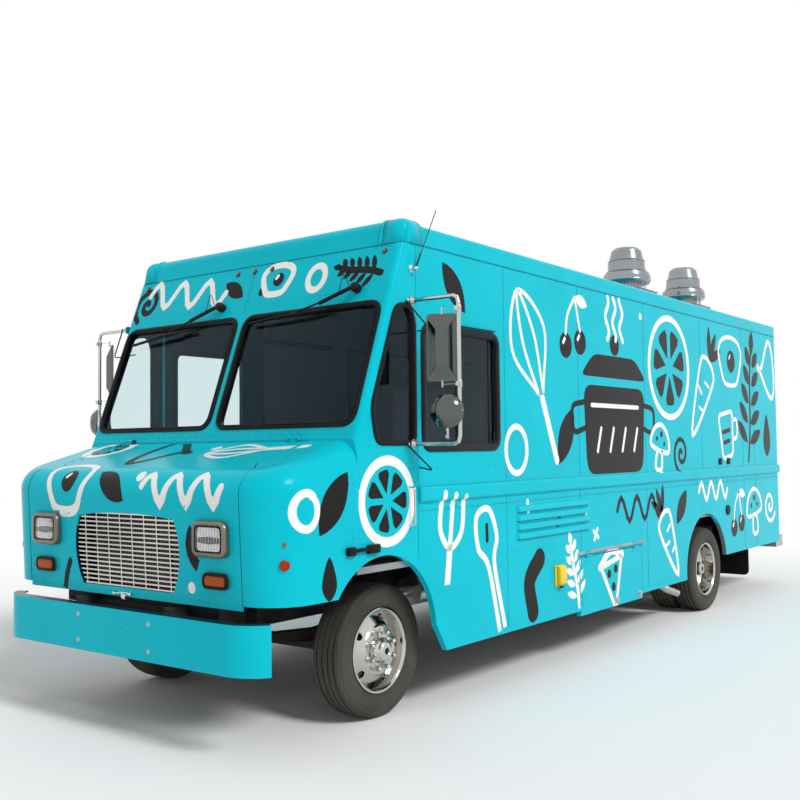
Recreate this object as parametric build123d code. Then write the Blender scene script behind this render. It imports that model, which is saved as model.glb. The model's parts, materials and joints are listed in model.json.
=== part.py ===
"""Step-van food truck, built as one STEP file per named subcomponent.

Millimetres. The truck faces -Y, its left (driver's) side is +X, up is +Z.
The origin lies on the ground under the middle of the truck's outer box.
"""
import math
import os

from build123d import *

# overall and axles
HALF_LENGTH = 4360          # half the length over the bumpers
BODY_HALF = 1249            # half the body width
WALL = 40                   # thickness of walls, floor and cab shell
FRONT_AXLE_Y = -3145
WHEELBASE = 4977
REAR_AXLE_Y = FRONT_AXLE_Y + WHEELBASE
INNER = BODY_HALF - WALL

# clearances
GAP = 6                     # between a moving panel and its frame
RUN = 0.05                  # radial clearance of a running fit
SEAT = 1                    # small step between pieces that don't touch

# tyres and rims
TYRE_R = 405.5
TYRE_HALF = 113
TREAD_HALF = 96
BEAD_HALF = 85
SEAT_R = 250
LIP_R = 259
LIP_HALF = 97
FRONT_WHEEL_X = BODY_HALF - 320
REAR_WHEEL_X = BODY_HALF - 141
DUAL_SPACING = 258
LUGS = 8
LUG_R = 112.5
HAND_HOLES = 5

# steering
KING_X = FRONT_WHEEL_X - 139
PIN_R = 20
EYE_R = 40
SPINDLE_R = 30
REAR_SPINDLE_R = 40

# body heights
SKIRT_Z = 364
REAR_SKIRT_Z = 506
FLOOR_Z = 960
SEAM_Z = 2900
ROOF_Z = 3032
CAP_Z = 3062
BODY_REAR_Y = HALF_LENGTH - 270
PILLAR_Y = -3038            # seam between cab shell and side walls

# windshield plane: y at height z
COWL_Z = 1700
COWL_Y = -3616
RAKE = 0.372
NOSE_REAR_Y = COWL_Y

# nose
NOSE_FRONT_Y = -4284
NOSE_FOOT_Y = -4247
NOSE_FOOT_Z = 783
HOOD_REAR_Z = 1690
HOOD_FRONT_Z = 1504
NOSE_CORNER_R = 260
NOSE_EDGE_R = 150
PANEL = 10
LID_HALF_REAR = BODY_HALF - 371
LID_HALF_FRONT = BODY_HALF - 274
LID_REAR_Y = COWL_Y - 9
FENDER_FOOT_Z = 810

# wheel arches (centre y, centre z, radius)
FRONT_ARCH = (-3375, 500, 515)
REAR_ARCH = (REAR_AXLE_Y - 57, 420, 539)

# rub rail
RAIL_Z0 = 1305
RAIL_Z1 = 1402
RAIL_BULGE = 25

# frame rails
RAIL_X0 = 380
RAIL_X1 = 450
FRAME_Z0 = 560
FRAME_Z1 = 780

# doors and openings
ENTRY_Y0, ENTRY_Y1 = -2975, -2045
ENTRY_Z0, ENTRY_Z1 = 500, 2500
SERVE_Y0, SERVE_Y1 = -795, 1605
SERVE_Z0, SERVE_Z1 = 1500, 2560
REAR_HALF = 760
REAR_Z0, REAR_Z1 = 700, 2620
GEN_Y0, GEN_Y1 = -945, 229
GEN_Z0, GEN_Z1 = 325, 785

# bumper
BUMPER_Y = -HALF_LENGTH + 8
BUMPER_Z0, BUMPER_Z1 = 458, 728
BUMPER_FLAT = BODY_HALF - 299
BUMPER_HALF = BUMPER_FLAT + 220
BUMPER_BACK = 124
BUMPER_DEPTH = 70
BOLT_X = 328
BOLT_Z = (516, 668)
PLATE_SPACING = 178         # the number plate's two holes
PLATE_Z = 630
PLATE_HOLE_R = 4

# grille opening in the nose panel: half widths and heights
GRILLE_TOP = (442, 1251)
GRILLE_MID = (484, 1045)
GRILLE_FOOT = (419, 836)
GRILLE_CROWN = 1277

# fans on the roof (x, y)
FAN_X = BODY_HALF - 649
FANS = ((FAN_X, REAR_AXLE_Y - 377), (FAN_X, BODY_REAR_Y - 1135))

# mirrors
MIRROR_TUBE_R = 13
MIRROR_X = BODY_HALF + 351
MIRROR_Y_LEFT = -3090
MIRROR_Y_RIGHT = -3285
MIRROR_Z0, MIRROR_Z1 = 1665, 2545


def block(x0, x1, y0, y1, z0, z1):
    """A box between two corners."""
    size = Box(abs(x1 - x0), abs(y1 - y0), abs(z1 - z0))
    return Pos((x0 + x1) / 2, (y0 + y1) / 2, (z0 + z1) / 2) * size


def face_of(points, radius=0):
    """A flat face through 3-D points, its corners rounded if asked."""
    face = Face(Wire(Polyline(*points, close=True).edges()))
    if radius:
        face = face.fillet_2d(radius, face.vertices())
    return face


def prism_x(points, x0, x1, radius=0):
    """A (y, z) outline pulled from x0 to x1."""
    face = face_of([(x0, y, z) for y, z in points], radius)
    return extrude(face, amount=x1 - x0, dir=(1, 0, 0))


def prism_y(points, y0, y1, radius=0):
    """An (x, z) outline pulled from y0 to y1."""
    face = face_of([(x, y0, z) for x, z in points], radius)
    return extrude(face, amount=y1 - y0, dir=(0, 1, 0))


def prism_z(points, z0, z1, radius=0):
    """An (x, y) outline pulled from z0 to z1."""
    face = face_of([(x, y, z0) for x, y in points], radius)
    return extrude(face, amount=z1 - z0, dir=(0, 0, 1))


def rod_x(x0, x1, y, z, r):
    """A round bar along X."""
    return Pos((x0 + x1) / 2, y, z) * Rot(0, 90, 0) * Cylinder(r, abs(x1 - x0))


def rod_y(x, y0, y1, z, r):
    """A round bar along Y."""
    return Pos(x, (y0 + y1) / 2, z) * Rot(90, 0, 0) * Cylinder(r, abs(y1 - y0))


def rod_z(x, y, z0, z1, r):
    """A round bar along Z."""
    return Pos(x, y, (z0 + z1) / 2) * Cylinder(r, abs(z1 - z0))


def spun_x(points, x, y, z, side=1):
    """An (x, radius) outline spun round an X axis through (x, y, z)."""
    face = face_of([(side * a, 0, r) for a, r in points])
    return Pos(x, y, z) * revolve(face, axis=Axis.X, revolution_arc=360)


def spun_z(points, x, y):
    """A (radius, z) outline spun round a Z axis through (x, y)."""
    face = face_of([(r, 0, z) for r, z in points])
    return Pos(x, y, 0) * revolve(face, axis=Axis.Z, revolution_arc=360)


def tube_path(points, r):
    """A round bar along a polyline whose corners are joined by balls."""
    shape = None
    for start, end in zip(points, points[1:]):
        line = Edge.make_line(start, end)
        plane = Plane(origin=start, z_dir=line % 0)
        piece = extrude(plane * Circle(r), amount=line.length)
        shape = piece if shape is None else shape + piece
    for corner in points[1:-1]:
        shape = shape + Pos(*corner) * Sphere(r)
    return shape


# a leaf hinge: pin and barrel radii, leaf size, half its length
HINGE_PIN_R = 4
HINGE_R = 8
HINGE_OUT = 9
HINGE_LEAF = 44
HINGE_HALF = 45
HINGE_MID = 15.5


def leaf_hinge(origin, x_dir, z_dir):
    """A hinge whose fixed leaf points along x_dir: fixed and moving halves."""
    low, high = -HINGE_OUT, -HINGE_OUT + 4
    mid, end = HINGE_MID, HINGE_HALF
    fixed = rod_z(0, 0, -end, end, HINGE_PIN_R)
    fixed += block(HINGE_OUT, HINGE_LEAF, low, high, -end, end)
    for z0, z1 in ((-end, -mid - SEAT), (mid + SEAT, end)):
        fixed += rod_z(0, 0, z0, z1, HINGE_R) + block(0, HINGE_OUT, low, high, z0, z1)
    moving = block(-HINGE_LEAF, -HINGE_OUT, low, high, -end, end)
    moving += rod_z(0, 0, -mid, mid, HINGE_R) + block(-HINGE_OUT, 0, low, high, -mid, mid)
    moving -= rod_z(0, 0, -end, end, HINGE_PIN_R + RUN)
    place = Plane(origin=origin, x_dir=x_dir, z_dir=z_dir).location
    return place * fixed, place * moving


def hinge_row(places, x_dir, z_dir):
    """Leaf hinges at several places: all fixed halves, all moving halves."""
    pairs = [leaf_hinge(place, x_dir, z_dir) for place in places]
    return [pair[0] for pair in pairs], [pair[1] for pair in pairs]


def mirrored(shape):
    """The same shape on the other side of the truck."""
    return mirror(shape, about=Plane.YZ)


def save(name, *shapes):
    """Write one subcomponent, its pieces as separate solids."""
    solids = [solid for shape in shapes for solid in shape.solids()]
    body = solids[0] if len(solids) == 1 else Compound(solids)
    export_step(body, f"parts/{name}.step")


def shield_y(z):
    """Where the windshield plane lies at height z."""
    return COWL_Y + RAKE * (z - COWL_Z)


def arch_cut(arch, x0, x1):
    """The round space of a wheel arch."""
    y, z, radius = arch
    return rod_x(x0, x1, y, z, radius)


# propeller shaft: its line from gearbox to rear axle
PINION_Y = REAR_AXLE_Y - 330
SHAFT_LINE = [(0, -2700, 700), (0, -1000, 640), (0, PINION_Y - 60, TYRE_R + 20),
              (0, PINION_Y, TYRE_R)]
SHAFT_TUBE_R = 42


# chassis
def chassis_frame():
    """Two rails with cross members, ending at the bumpers."""
    front_y = BUMPER_Y + BUMPER_DEPTH
    rail_end = BODY_REAR_Y - WALL
    rail = block(RAIL_X0, RAIL_X1, front_y, rail_end, FRAME_Z0, FRAME_Z1)
    frame = rail + mirrored(rail)
    for y in (-4180, -2600, -1300, 0, 1100, 2560, rail_end - 150):
        frame += block(-RAIL_X0, RAIL_X0, y, y + 70, FRAME_Z0 + 40, FRAME_Z1 - 40)
    horn_y = NOSE_FOOT_Y + 60
    frame -= block(-RAIL_X1 - 5, RAIL_X1 + 5, front_y - 5, horn_y, FRAME_Z1 - 20, FRAME_Z1 + 5)
    return frame - tube_path(SHAFT_LINE, SHAFT_TUBE_R + 20)


AXLE_TUBE_R = 62
SPRING_X0, SPRING_X1 = 455, 530
FRONT_SPRING_HALF = 560
REAR_SPRING_HALF = 700


def axle_beams():
    """The front beam with its king pin eyes, and the rear axle casing."""
    beam = block(-KING_X + 30, KING_X - 30, FRONT_AXLE_Y - 40, FRONT_AXLE_Y + 40, 360, 420)
    for side in (1, -1):
        beam += rod_z(side * KING_X, FRONT_AXLE_Y, 358, 452, EYE_R)
        beam -= rod_z(side * KING_X, FRONT_AXLE_Y, 350, 460, PIN_R + RUN)
    inner_face = REAR_WHEEL_X - DUAL_SPACING - 40
    rear = rod_x(-inner_face, inner_face, REAR_AXLE_Y, TYRE_R, AXLE_TUBE_R)
    rear += Pos(0, REAR_AXLE_Y, TYRE_R) * Sphere(165)
    rear += rod_y(0, PINION_Y, REAR_AXLE_Y, TYRE_R, 60)
    tip = REAR_WHEEL_X - 10
    rear += rod_x(-tip, tip, REAR_AXLE_Y, TYRE_R, REAR_SPINDLE_R)
    return beam, rear


def leaf_springs():
    """Four leaf packs with their hangers, each seated on its axle."""
    packs = []
    for y, half, z in ((FRONT_AXLE_Y, FRONT_SPRING_HALF, 420),
                       (REAR_AXLE_Y, REAR_SPRING_HALF, TYRE_R + AXLE_TUBE_R)):
        low, high = z, z + 70
        leaf = prism_x([(y - 90, low), (y + 90, low), (y + half, low + 60), (y + half, high + 40),
                        (y, high), (y - half, high + 40), (y - half, low + 60)],
                       SPRING_X0, SPRING_X1)
        for end in (y - half, y + half - 60):
            leaf += block(RAIL_X1, SPRING_X1, end, end + 60, low + 60, FRAME_Z1 - 40)
        packs += [leaf, mirrored(leaf)]
    return packs


def engine_block():
    """Engine and gearbox as plain blocks, propeller shaft and radiator."""
    engine = block(-300, 300, -3960, -3300, 640, 1380)
    engine += block(-180, 180, -3300, -2700, 620, 900)
    line = SHAFT_LINE[:-2] + [(0, PINION_Y - 50, TYRE_R), (0, PINION_Y, TYRE_R)]
    engine += tube_path(line, SHAFT_TUBE_R)
    radiator = block(-390, 390, -4170, -4100, FRAME_Z1, 1330)
    return engine, radiator


def exhaust_pipe():
    """Silencer under the left of the frame and the slanted tail pipe."""
    can = rod_y(620, -2300, -1500, 640, 105)
    pipe = tube_path([(620, -2700, 640), (620, -1000, 640), (620, 700, 640), (640, 1000, 560),
                      (1020, 1270, 262), (1085, 1390, 212)], 38)
    bore = tube_path([(1020, 1270, 262), (1092, 1403, 206)], 34)
    hanger = block(RAIL_X1, 640, -1930, -1870, 640, 700)
    return (can + pipe + hanger) - bore


# body
def wall_outline(shift=0):
    """The (y, z) outline of a side wall as a face at x = shift."""
    y, z, r = FRONT_ARCH

    def on_arch(degrees):
        turn = math.radians(degrees)
        return (shift, y + r * math.cos(turn), z + r * math.sin(turn))

    first = math.degrees(math.acos((PILLAR_Y - y) / r))
    foot = (shift, -2745, SKIRT_Z)
    yr, zr, rr = REAR_ARCH
    front_half = math.sqrt(rr ** 2 - (zr - SKIRT_Z) ** 2)
    rear_half = math.sqrt(rr ** 2 - (REAR_SKIRT_Z - zr) ** 2)
    arch_start = (shift, yr - front_half, SKIRT_Z)
    arch_end = (shift, yr + rear_half, REAR_SKIRT_Z)
    low_end = (shift, BODY_REAR_Y, REAR_SKIRT_Z)
    top_end = (shift, BODY_REAR_Y, SEAM_Z)
    top_start = (shift, PILLAR_Y, SEAM_Z)
    edges = [
        Edge.make_line(top_start, on_arch(first)),
        Edge.make_three_point_arc(on_arch(first), on_arch((first + 5) / 2), on_arch(5)),
        Edge.make_line(on_arch(5), foot),
        Edge.make_line(foot, arch_start),
        Edge.make_three_point_arc(arch_start, (shift, yr, zr + rr), arch_end),
        Edge.make_line(arch_end, low_end),
        Edge.make_line(low_end, top_end),
        Edge.make_line(top_end, top_start),
    ]
    return Face(Wire(edges))


def rub_rail():
    """The rounded roll along the wall, its front end closed by a round."""
    roll = block(BODY_HALF - 5, BODY_HALF + RAIL_BULGE, PILLAR_Y, BODY_REAR_Y, RAIL_Z0, RAIL_Z1)
    outer = roll.edges().filter_by(Axis.Y).group_by(Axis.X)[-1]
    roll = fillet(outer, RAIL_BULGE - 3)
    return roll


def side_wall():
    """One plain side wall on the left, with its skirt, arches and rail."""
    wall = extrude(wall_outline(INNER), amount=WALL, dir=(1, 0, 0))
    return wall + rub_rail()


DRIVER_WINDOW = [(-2969, 1640), (-2103, 1640), (-2103, 2398), (-2969, 2398)]
WINDOW_R = 60


def left_wall():
    """The driver's side: a window and the generator compartment."""
    wall = side_wall()
    wall -= prism_x(DRIVER_WINDOW, INNER - 5, BODY_HALF + 5, WINDOW_R)
    wall -= block(INNER - 5, BODY_HALF + 5, GEN_Y0 + 8, GEN_Y1 - 8, 300, GEN_Z1 - 5)
    for half in flap_hinges()[0]:
        wall += half
    return wall


def flap_hinges():
    """The generator flap's hinges."""
    places = [(BODY_HALF + HINGE_OUT, y, GEN_Z1 - 8) for y in (GEN_Y0 + 150, GEN_Y1 - 150)]
    return hinge_row(places, (0, 0, 1), (0, 1, 0))


SKIRT_SEAM_Z = 1254         # where the kerb side's skirt panels begin
SKIRT_JOINT_Y = REAR_AXLE_Y - 732
NOTCH_Z = 980
NOTCH_Y = ENTRY_Y0 + 260
TRACK_Z = ENTRY_Z1 + 40
ENTRY_LAP = 28              # how far the entry door laps its opening
SLIDE_GAP = 0.3
STEP_Z = 440
DOOR_X0, DOOR_X1 = -INNER + 10, -INNER + 40


def entry_outline(grow):
    """The (y, z) outline of the entry opening, grown all round."""
    return [(ENTRY_Y0 - grow, NOTCH_Z + grow / 2), (NOTCH_Y - grow, ENTRY_Z0 - grow),
            (ENTRY_Y1 + grow, ENTRY_Z0 - grow), (ENTRY_Y1 + grow, ENTRY_Z1 + grow),
            (ENTRY_Y0 - grow, ENTRY_Z1 + grow)]


def kerb_side():
    """The kerb side's panels in one, with the entry and serving openings."""
    wall = mirrored(side_wall())
    wall -= prism_x(entry_outline(0), -BODY_HALF - 30, -INNER + 5)
    return wall - block(-BODY_HALF - 5, -INNER + 5, SERVE_Y0, SERVE_Y1, SERVE_Z0, SERVE_Z1)


def kerb_half(z0, z1):
    """A box over the kerb side between two heights."""
    return block(-BODY_HALF - 50, -INNER + 50, PILLAR_Y - 50, BODY_REAR_Y + 50, z0, z1)


def right_wall():
    """The kerb side above the skirt seam, with the hatch's hinges."""
    wall = kerb_side() & kerb_half(SKIRT_SEAM_Z, SEAM_Z + 50)
    for half in hatch_hinges()[0]:
        wall += half
    return wall


def right_skirt():
    """The kerb side's two skirt panels below the seam, one behind the other."""
    skirt = kerb_side() & kerb_half(SKIRT_Z - 50, SKIRT_SEAM_Z)
    front = block(-BODY_HALF - 50, -INNER + 50, PILLAR_Y - 50, SKIRT_JOINT_Y, 0, SEAM_Z)
    return skirt & front, skirt - front


def door_tracks():
    """The entry door's upper track and the sill it slides over."""
    sill = ENTRY_Z0 - ENTRY_LAP
    return (block(-INNER, -INNER + 70, ENTRY_Y0 - 30, -1100, TRACK_Z, TRACK_Z + 40),
            block(-INNER, DOOR_X1 + 4, NOTCH_Y - 40, -1150, STEP_Z + 20, sill - SLIDE_GAP))


def hatch_hinges():
    """The serving hatch's hinges."""
    middle = (SERVE_Y0 + SERVE_Y1) / 2
    places = [(-BODY_HALF - HINGE_OUT, y, SERVE_Z1 - GAP / 2)
              for y in (SERVE_Y0 + 150, middle, SERVE_Y1 - 150)]
    return hinge_row(places, (0, 0, 1), (0, -1, 0))


def rear_wall():
    """The back panel with the opening of the two rear doors."""
    y0, y1 = BODY_REAR_Y - WALL, BODY_REAR_Y
    wall = block(-INNER, INNER, y0, y1, REAR_SKIRT_Z, SEAM_Z)
    wall -= block(-REAR_HALF, REAR_HALF, y0 - 5, y1 + 5, REAR_Z0, REAR_Z1)
    for half in rear_hinges()[0]:
        wall = wall + half + mirrored(half)
    return wall


def rear_hinges():
    """The left rear door's hinges."""
    places = [(REAR_HALF - GAP / 2, BODY_REAR_Y + HINGE_OUT, z)
              for z in (REAR_Z0 + 250, (REAR_Z0 + REAR_Z1) / 2, REAR_Z1 - 250)]
    return hinge_row(places, (1, 0, 0), (0, 0, 1))


def roof():
    """The roof tray and the rounded cap over the header."""
    front = shield_y(SEAM_Z)
    tray = block(-BODY_HALF, BODY_HALF, front + 60, BODY_REAR_Y, SEAM_Z, ROOF_Z)
    top = tray.faces().sort_by(Axis.Z)[-1]
    tray = fillet(top.edges(), 28)
    half = BODY_HALF + 4
    cap = prism_x([(front - 4, SEAM_Z), (front + 30, CAP_Z), (front + 190, CAP_Z),
                   (front + 190, SEAM_Z)], -half, half)
    corners = cap.edges().filter_by(lambda e: abs((e % 0.5).Z) > 0.9)
    corners = corners.sort_by(lambda e: e.center().Y)[:2]
    cap = fillet(corners, 85)
    rim = cap.faces().sort_by(Axis.Z)[-1].edges()
    rim = rim.filter_by(lambda e: e.center().Y < front + 150)
    cap = fillet(rim, 75)
    shape = tray + cap
    hollow = block(-INNER, INNER, front + 60 + WALL, BODY_REAR_Y - WALL, SEAM_Z - 5,
                   ROOF_Z - WALL)
    return shape - hollow


SHIELD_HOLE = [(38, 1783), (BODY_HALF - 57, 1783), (BODY_HALF - 57, 2522), (38, 2522)]
QUARTER_HOLE = [(-3440, 1672), (-3062, 1670), (-3062, 2425), (-3105, 2518), (-3246, 2500),
                (-3482, 1880)]
QUARTER_R = 50
PILLAR_R = 48


def shield_hole():
    """The left windshield opening, cut straight back."""
    return prism_y(SHIELD_HOLE, COWL_Y - 50, PILLAR_Y, 70)


def quarter_hole():
    """The left quarter window opening."""
    return prism_x(QUARTER_HOLE, INNER - 5, BODY_HALF + 5, QUARTER_R)


def cab_shell():
    """Firewall, cowl, windshield frame, header and quarter panels."""
    top_y = shield_y(SEAM_Z)
    outer = prism_x([(COWL_Y, 920), (COWL_Y, COWL_Z), (top_y, SEAM_Z), (PILLAR_Y, SEAM_Z),
                     (PILLAR_Y, 850)], -BODY_HALF, BODY_HALF)
    slanted = outer.edges().filter_by(lambda e: 0.3 < abs((e % 0.5).Y) < 0.4)
    outer = fillet(slanted, PILLAR_R)
    inset = COWL_Y + WALL
    inner = prism_x([(inset, 800), (inset, COWL_Z - 8), (shield_y(SEAM_Z + 50) + WALL, SEAM_Z + 50),
                     (PILLAR_Y + 50, SEAM_Z + 50), (PILLAR_Y + 50, 800)], -INNER, INNER)
    shell = outer - inner - arch_cut(FRONT_ARCH, -BODY_HALF - 5, BODY_HALF + 5)
    for cut in (shield_hole(), quarter_hole()):
        shell -= cut
        shell -= mirrored(cut)
    for x in (-HOOD_HINGE_X, HOOD_HINGE_X):
        shell += rod_x(x - 42, x + 42, HOOD_HINGE_Y, HOOD_HINGE_Z, HOOD_PIN_R)
        for x0 in (x - 42, x + 26):
            shell += rod_x(x0, x0 + 16, HOOD_HINGE_Y, HOOD_HINGE_Z, HOOD_BARREL_R)
            shell += block(x0, x0 + 16, HOOD_HINGE_Y, COWL_Y + 12, HOOD_HINGE_Z - 10,
                           HOOD_HINGE_Z + 8)
    return shell - block(-COVER_HALF + 20, COVER_HALF - 20, COWL_Y - 5, inset + 5, 800,
                         COVER_TOP - 20)


GLASS = 6

# hood hinge: its two barrels' centre, pin and barrel radii
HOOD_HINGE_X = LID_HALF_REAR - 103
HOOD_HINGE_Y = COWL_Y - 18
HOOD_HINGE_Z = COWL_Z + 6
HOOD_PIN_R = 6
HOOD_BARREL_R = 12


def cab_glass():
    """Two windshields, two quarter windows and the driver's window."""
    back = 14
    z0, z1 = 1750, 2560
    slab = prism_x([(shield_y(z0) + back, z0), (shield_y(z1) + back, z1),
                    (shield_y(z1) + back + GLASS, z1), (shield_y(z0) + back + GLASS, z0)],
                   0, BODY_HALF)
    pane = slab & shield_hole()
    band = block(BODY_HALF - 20, BODY_HALF - 20 + GLASS, -3600, -2000, 1600, 2600)
    quarter = band & quarter_hole()
    window = prism_x(DRIVER_WINDOW, INNER - 5, BODY_HALF + 5, WINDOW_R) & band
    return pane, mirrored(pane), quarter, mirrored(quarter), window


COVER_HALF = 340            # engine cover in the cab
COVER_TOP = 1450
COVER_Y = COWL_Y + WALL + 740
DOOR_PATH_Y = -1120         # how far back the entry door's path reaches


def body_floor():
    """The floor and the entry step well."""
    y0, y1 = COWL_Y + WALL, BODY_REAR_Y - WALL
    floor = block(-INNER, INNER, y0, y1, FLOOR_Z - WALL, FLOOR_Z)
    well = (-INNER, -INNER + 449, -2640, ENTRY_Y1 + 85)
    floor -= block(well[0] - 5, well[1], well[2], well[3], 900, FLOOR_Z + 5)
    x0, x1, w0, w1 = well
    step_z = STEP_Z
    floor += block(x0, x1 + 20, w0, w1, step_z, step_z + 20)
    floor += block(x1, x1 + 20, w0, w1, step_z, FLOOR_Z)
    floor += block(x0 + 60, x1, w0, w0 + 20, step_z, FLOOR_Z)
    floor += block(x0 + 60, x1, w1 - 20, w1, step_z, FLOOR_Z)
    floor += block(x1 - 210, x1, w0, w1, 700, 720)
    floor -= block(-COVER_HALF + 20, COVER_HALF - 20, y0 - 5, COVER_Y, FLOOR_Z - WALL - 5,
                   FLOOR_Z + 5)
    return floor - door_path()


def door_path():
    """The slot in the floor that the entry door slides through."""
    return block(-INNER - 5, DOOR_X1 + 9, ENTRY_Y0 - 40, DOOR_PATH_Y, STEP_Z + 25, FLOOR_Z + 5)


BEARER_WIDTH = 60
BEARERS = (-2680, -1400, -1000, 300, 1150, 2400, 3000, BODY_REAR_Y - 490, BODY_REAR_Y - 110)
SHORT_BEARER = INNER - 569          # half length beside the step well


def floor_bearers():
    """The cross bearers between the frame rails and the floor."""
    bearers = []
    for y in BEARERS:
        half = SHORT_BEARER if y < -2000 else INNER
        bar = block(-half, half, y, y + BEARER_WIDTH, FRAME_Z1, FLOOR_Z - WALL)
        bearers.append(bar - door_path())
    return bearers


# nose
def nose_solid(inset):
    """The whole nose as one block, every face moved in by inset."""
    half = BODY_HALF - inset
    slope = (HOOD_REAR_Z - HOOD_FRONT_Z) / (NOSE_REAR_Y - NOSE_FRONT_Y)
    drop = inset * math.sqrt(1 + slope ** 2)
    rear = NOSE_REAR_Y + (60 if inset else 0)
    foot = 500 if inset else 600
    lean = (NOSE_FOOT_Y - NOSE_FRONT_Y) / (HOOD_FRONT_Z - NOSE_FOOT_Z)
    foot_y = NOSE_FOOT_Y + lean * (NOSE_FOOT_Z - foot) + inset
    block_ = prism_x([(rear, foot), (rear, HOOD_REAR_Z - drop + slope * (rear - NOSE_REAR_Y)),
                      (NOSE_FRONT_Y + inset, HOOD_FRONT_Z - drop + slope * inset),
                      (foot_y, foot)], -half, half)
    uprights = block_.edges().filter_by(lambda e: abs((e % 0.5).Z) > 0.99)
    uprights = uprights.sort_by(lambda e: e.center().Y)[:2]
    block_ = fillet(uprights, NOSE_CORNER_R - inset)
    top = block_.faces().sort_by(lambda f: f.center().Z)[-1]
    rim = top.edges().filter_by(lambda e: e.center().Y < rear - 5)
    return fillet(rim, NOSE_EDGE_R - inset)


def lid_region(grow):
    """The plan area of the hood lid, grown outwards."""
    rear, front = LID_HALF_REAR + grow, LID_HALF_FRONT + grow
    y_rear, y_front = NOSE_REAR_Y + 100, NOSE_FRONT_Y - 100
    outline = [(-rear, y_rear), (rear, y_rear), (rear, -4040), (front, -4160),
               (front, y_front), (-front, y_front), (-front, -4160), (-rear, -4040)]
    return prism_z(outline, 500, 2000)


def nose_shell():
    """The nose's skin."""
    return nose_solid(0) - nose_solid(PANEL)


LAMP_X, LAMP_Z, LAMP_W, LAMP_H = BODY_HALF - 485, 1159, 270, 200
TURN_X, TURN_Z, TURN_W, TURN_H = LAMP_X + 26, 932, 200, 90
LAMP_DEPTH = 60


def outline_round(x, z, width, height):
    """The corners of an upright rectangle round (x, z)."""
    a, b = width / 2, height / 2
    return [(x - a, z - b), (x + a, z - b), (x + a, z + b), (x - a, z + b)]


def lamp_prism(side, depth_front, depth_back):
    """Headlamp and turn lamp bodies on one side of the nose panel."""
    y0, y1 = NOSE_FRONT_Y - depth_front, NOSE_FRONT_Y + depth_back
    head = prism_y(outline_round(side * LAMP_X, LAMP_Z, LAMP_W, LAMP_H), y0, y1, 45)
    turn = prism_y(outline_round(side * TURN_X, TURN_Z, TURN_W, TURN_H), y0 + 20, y1, 40)
    return head, turn


def grille_outline(y):
    """The face of the grille opening at depth y."""
    (tw, tz), (mw, mz), (fw, fz) = GRILLE_TOP, GRILLE_MID, GRILLE_FOOT
    edges = [
        Edge.make_three_point_arc((-tw, y, tz), (0, y, GRILLE_CROWN), (tw, y, tz)),
        Edge.make_three_point_arc((tw, y, tz), (mw, y, mz), (fw, y, fz)),
        Edge.make_line((fw, y, fz), (-fw, y, fz)),
        Edge.make_three_point_arc((-fw, y, fz), (-mw, y, mz), (-tw, y, tz)),
    ]
    return Face(Wire(edges))


def grille_hole():
    """The grille opening, cut right through the nose panel."""
    return extrude(grille_outline(NOSE_FRONT_Y - 60), amount=160, dir=(0, 1, 0))


def hood_lid():
    """The lifting lid: hood top and nose panel in one."""
    lid = nose_shell() & lid_region(0)
    lid &= block(-BODY_HALF, BODY_HALF, NOSE_FRONT_Y - 50, LID_REAR_Y, NOSE_FOOT_Z, 2000)
    for side in (1, -1):
        for lamp in lamp_prism(side, 40, 80):
            lid -= lamp
    for x in (-HOOD_HINGE_X, HOOD_HINGE_X):
        lid += rod_x(x - 24, x + 24, HOOD_HINGE_Y, HOOD_HINGE_Z, HOOD_BARREL_R)
        lid += block(x - 24, x + 24, HOOD_HINGE_Y - 12, LID_REAR_Y, HOOD_REAR_Z - 14,
                     HOOD_HINGE_Z - 4)
        lid -= rod_x(x - 30, x + 30, HOOD_HINGE_Y, HOOD_HINGE_Z, HOOD_PIN_R + RUN)
    return lid - grille_hole()


def front_lamps():
    """Headlamps and turn lamps, seated in the nose panel."""
    return [lamp for side in (1, -1) for lamp in lamp_prism(side, 4, LAMP_DEPTH)]


# grille: its columns and rows of openings, the bars between them
GRILLE_COLUMNS, GRILLE_ROWS = 9, 18
UPRIGHT_BAR, CROSS_BAR = 8, 9
GRILLE_THICK = 14
GRILLE_LAP = 24             # how far it reaches behind the panel


def grille():
    """A lattice of bars that lies against the back of the nose panel."""
    lean = (NOSE_FOOT_Y - NOSE_FRONT_Y) / (HOOD_FRONT_Z - NOSE_FOOT_Z)
    half = GRILLE_MID[0] + GRILLE_LAP
    low, high = GRILLE_FOOT[1] - GRILLE_LAP, GRILLE_CROWN + GRILLE_LAP
    y_low, y_high = (NOSE_FRONT_Y + lean * (HOOD_FRONT_Z - z) + PANEL for z in (low, high))
    plate = prism_x([(y_high, high), (y_low, low), (y_low + GRILLE_THICK, low),
                     (y_high + GRILLE_THICK, high)], -half, half)
    cell_w = (2 * half - UPRIGHT_BAR) / GRILLE_COLUMNS
    cell_h = (high - low - CROSS_BAR) / GRILLE_ROWS
    holes = []
    for column in range(GRILLE_COLUMNS):
        x = -half + UPRIGHT_BAR + cell_w * column
        for row in range(GRILLE_ROWS):
            z = low + CROSS_BAR + cell_h * row
            holes.append(block(x, x + cell_w - UPRIGHT_BAR, y_high - 20, y_low + 40, z,
                               z + cell_h - CROSS_BAR))
    return plate - holes


def fenders():
    """The fixed fenders, one each side of the lid."""
    skin = nose_shell() - lid_region(GAP)
    skin -= block(-BODY_HALF - 5, BODY_HALF + 5, NOSE_FRONT_Y - 50, NOSE_REAR_Y + 80, 400,
                  FENDER_FOOT_Z)
    skin -= block(-BODY_HALF - 5, BODY_HALF + 5, NOSE_REAR_Y, NOSE_REAR_Y + 80, 400, 2000)
    skin -= arch_cut(FRONT_ARCH, -BODY_HALF - 5, BODY_HALF + 5)
    return skin


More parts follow.
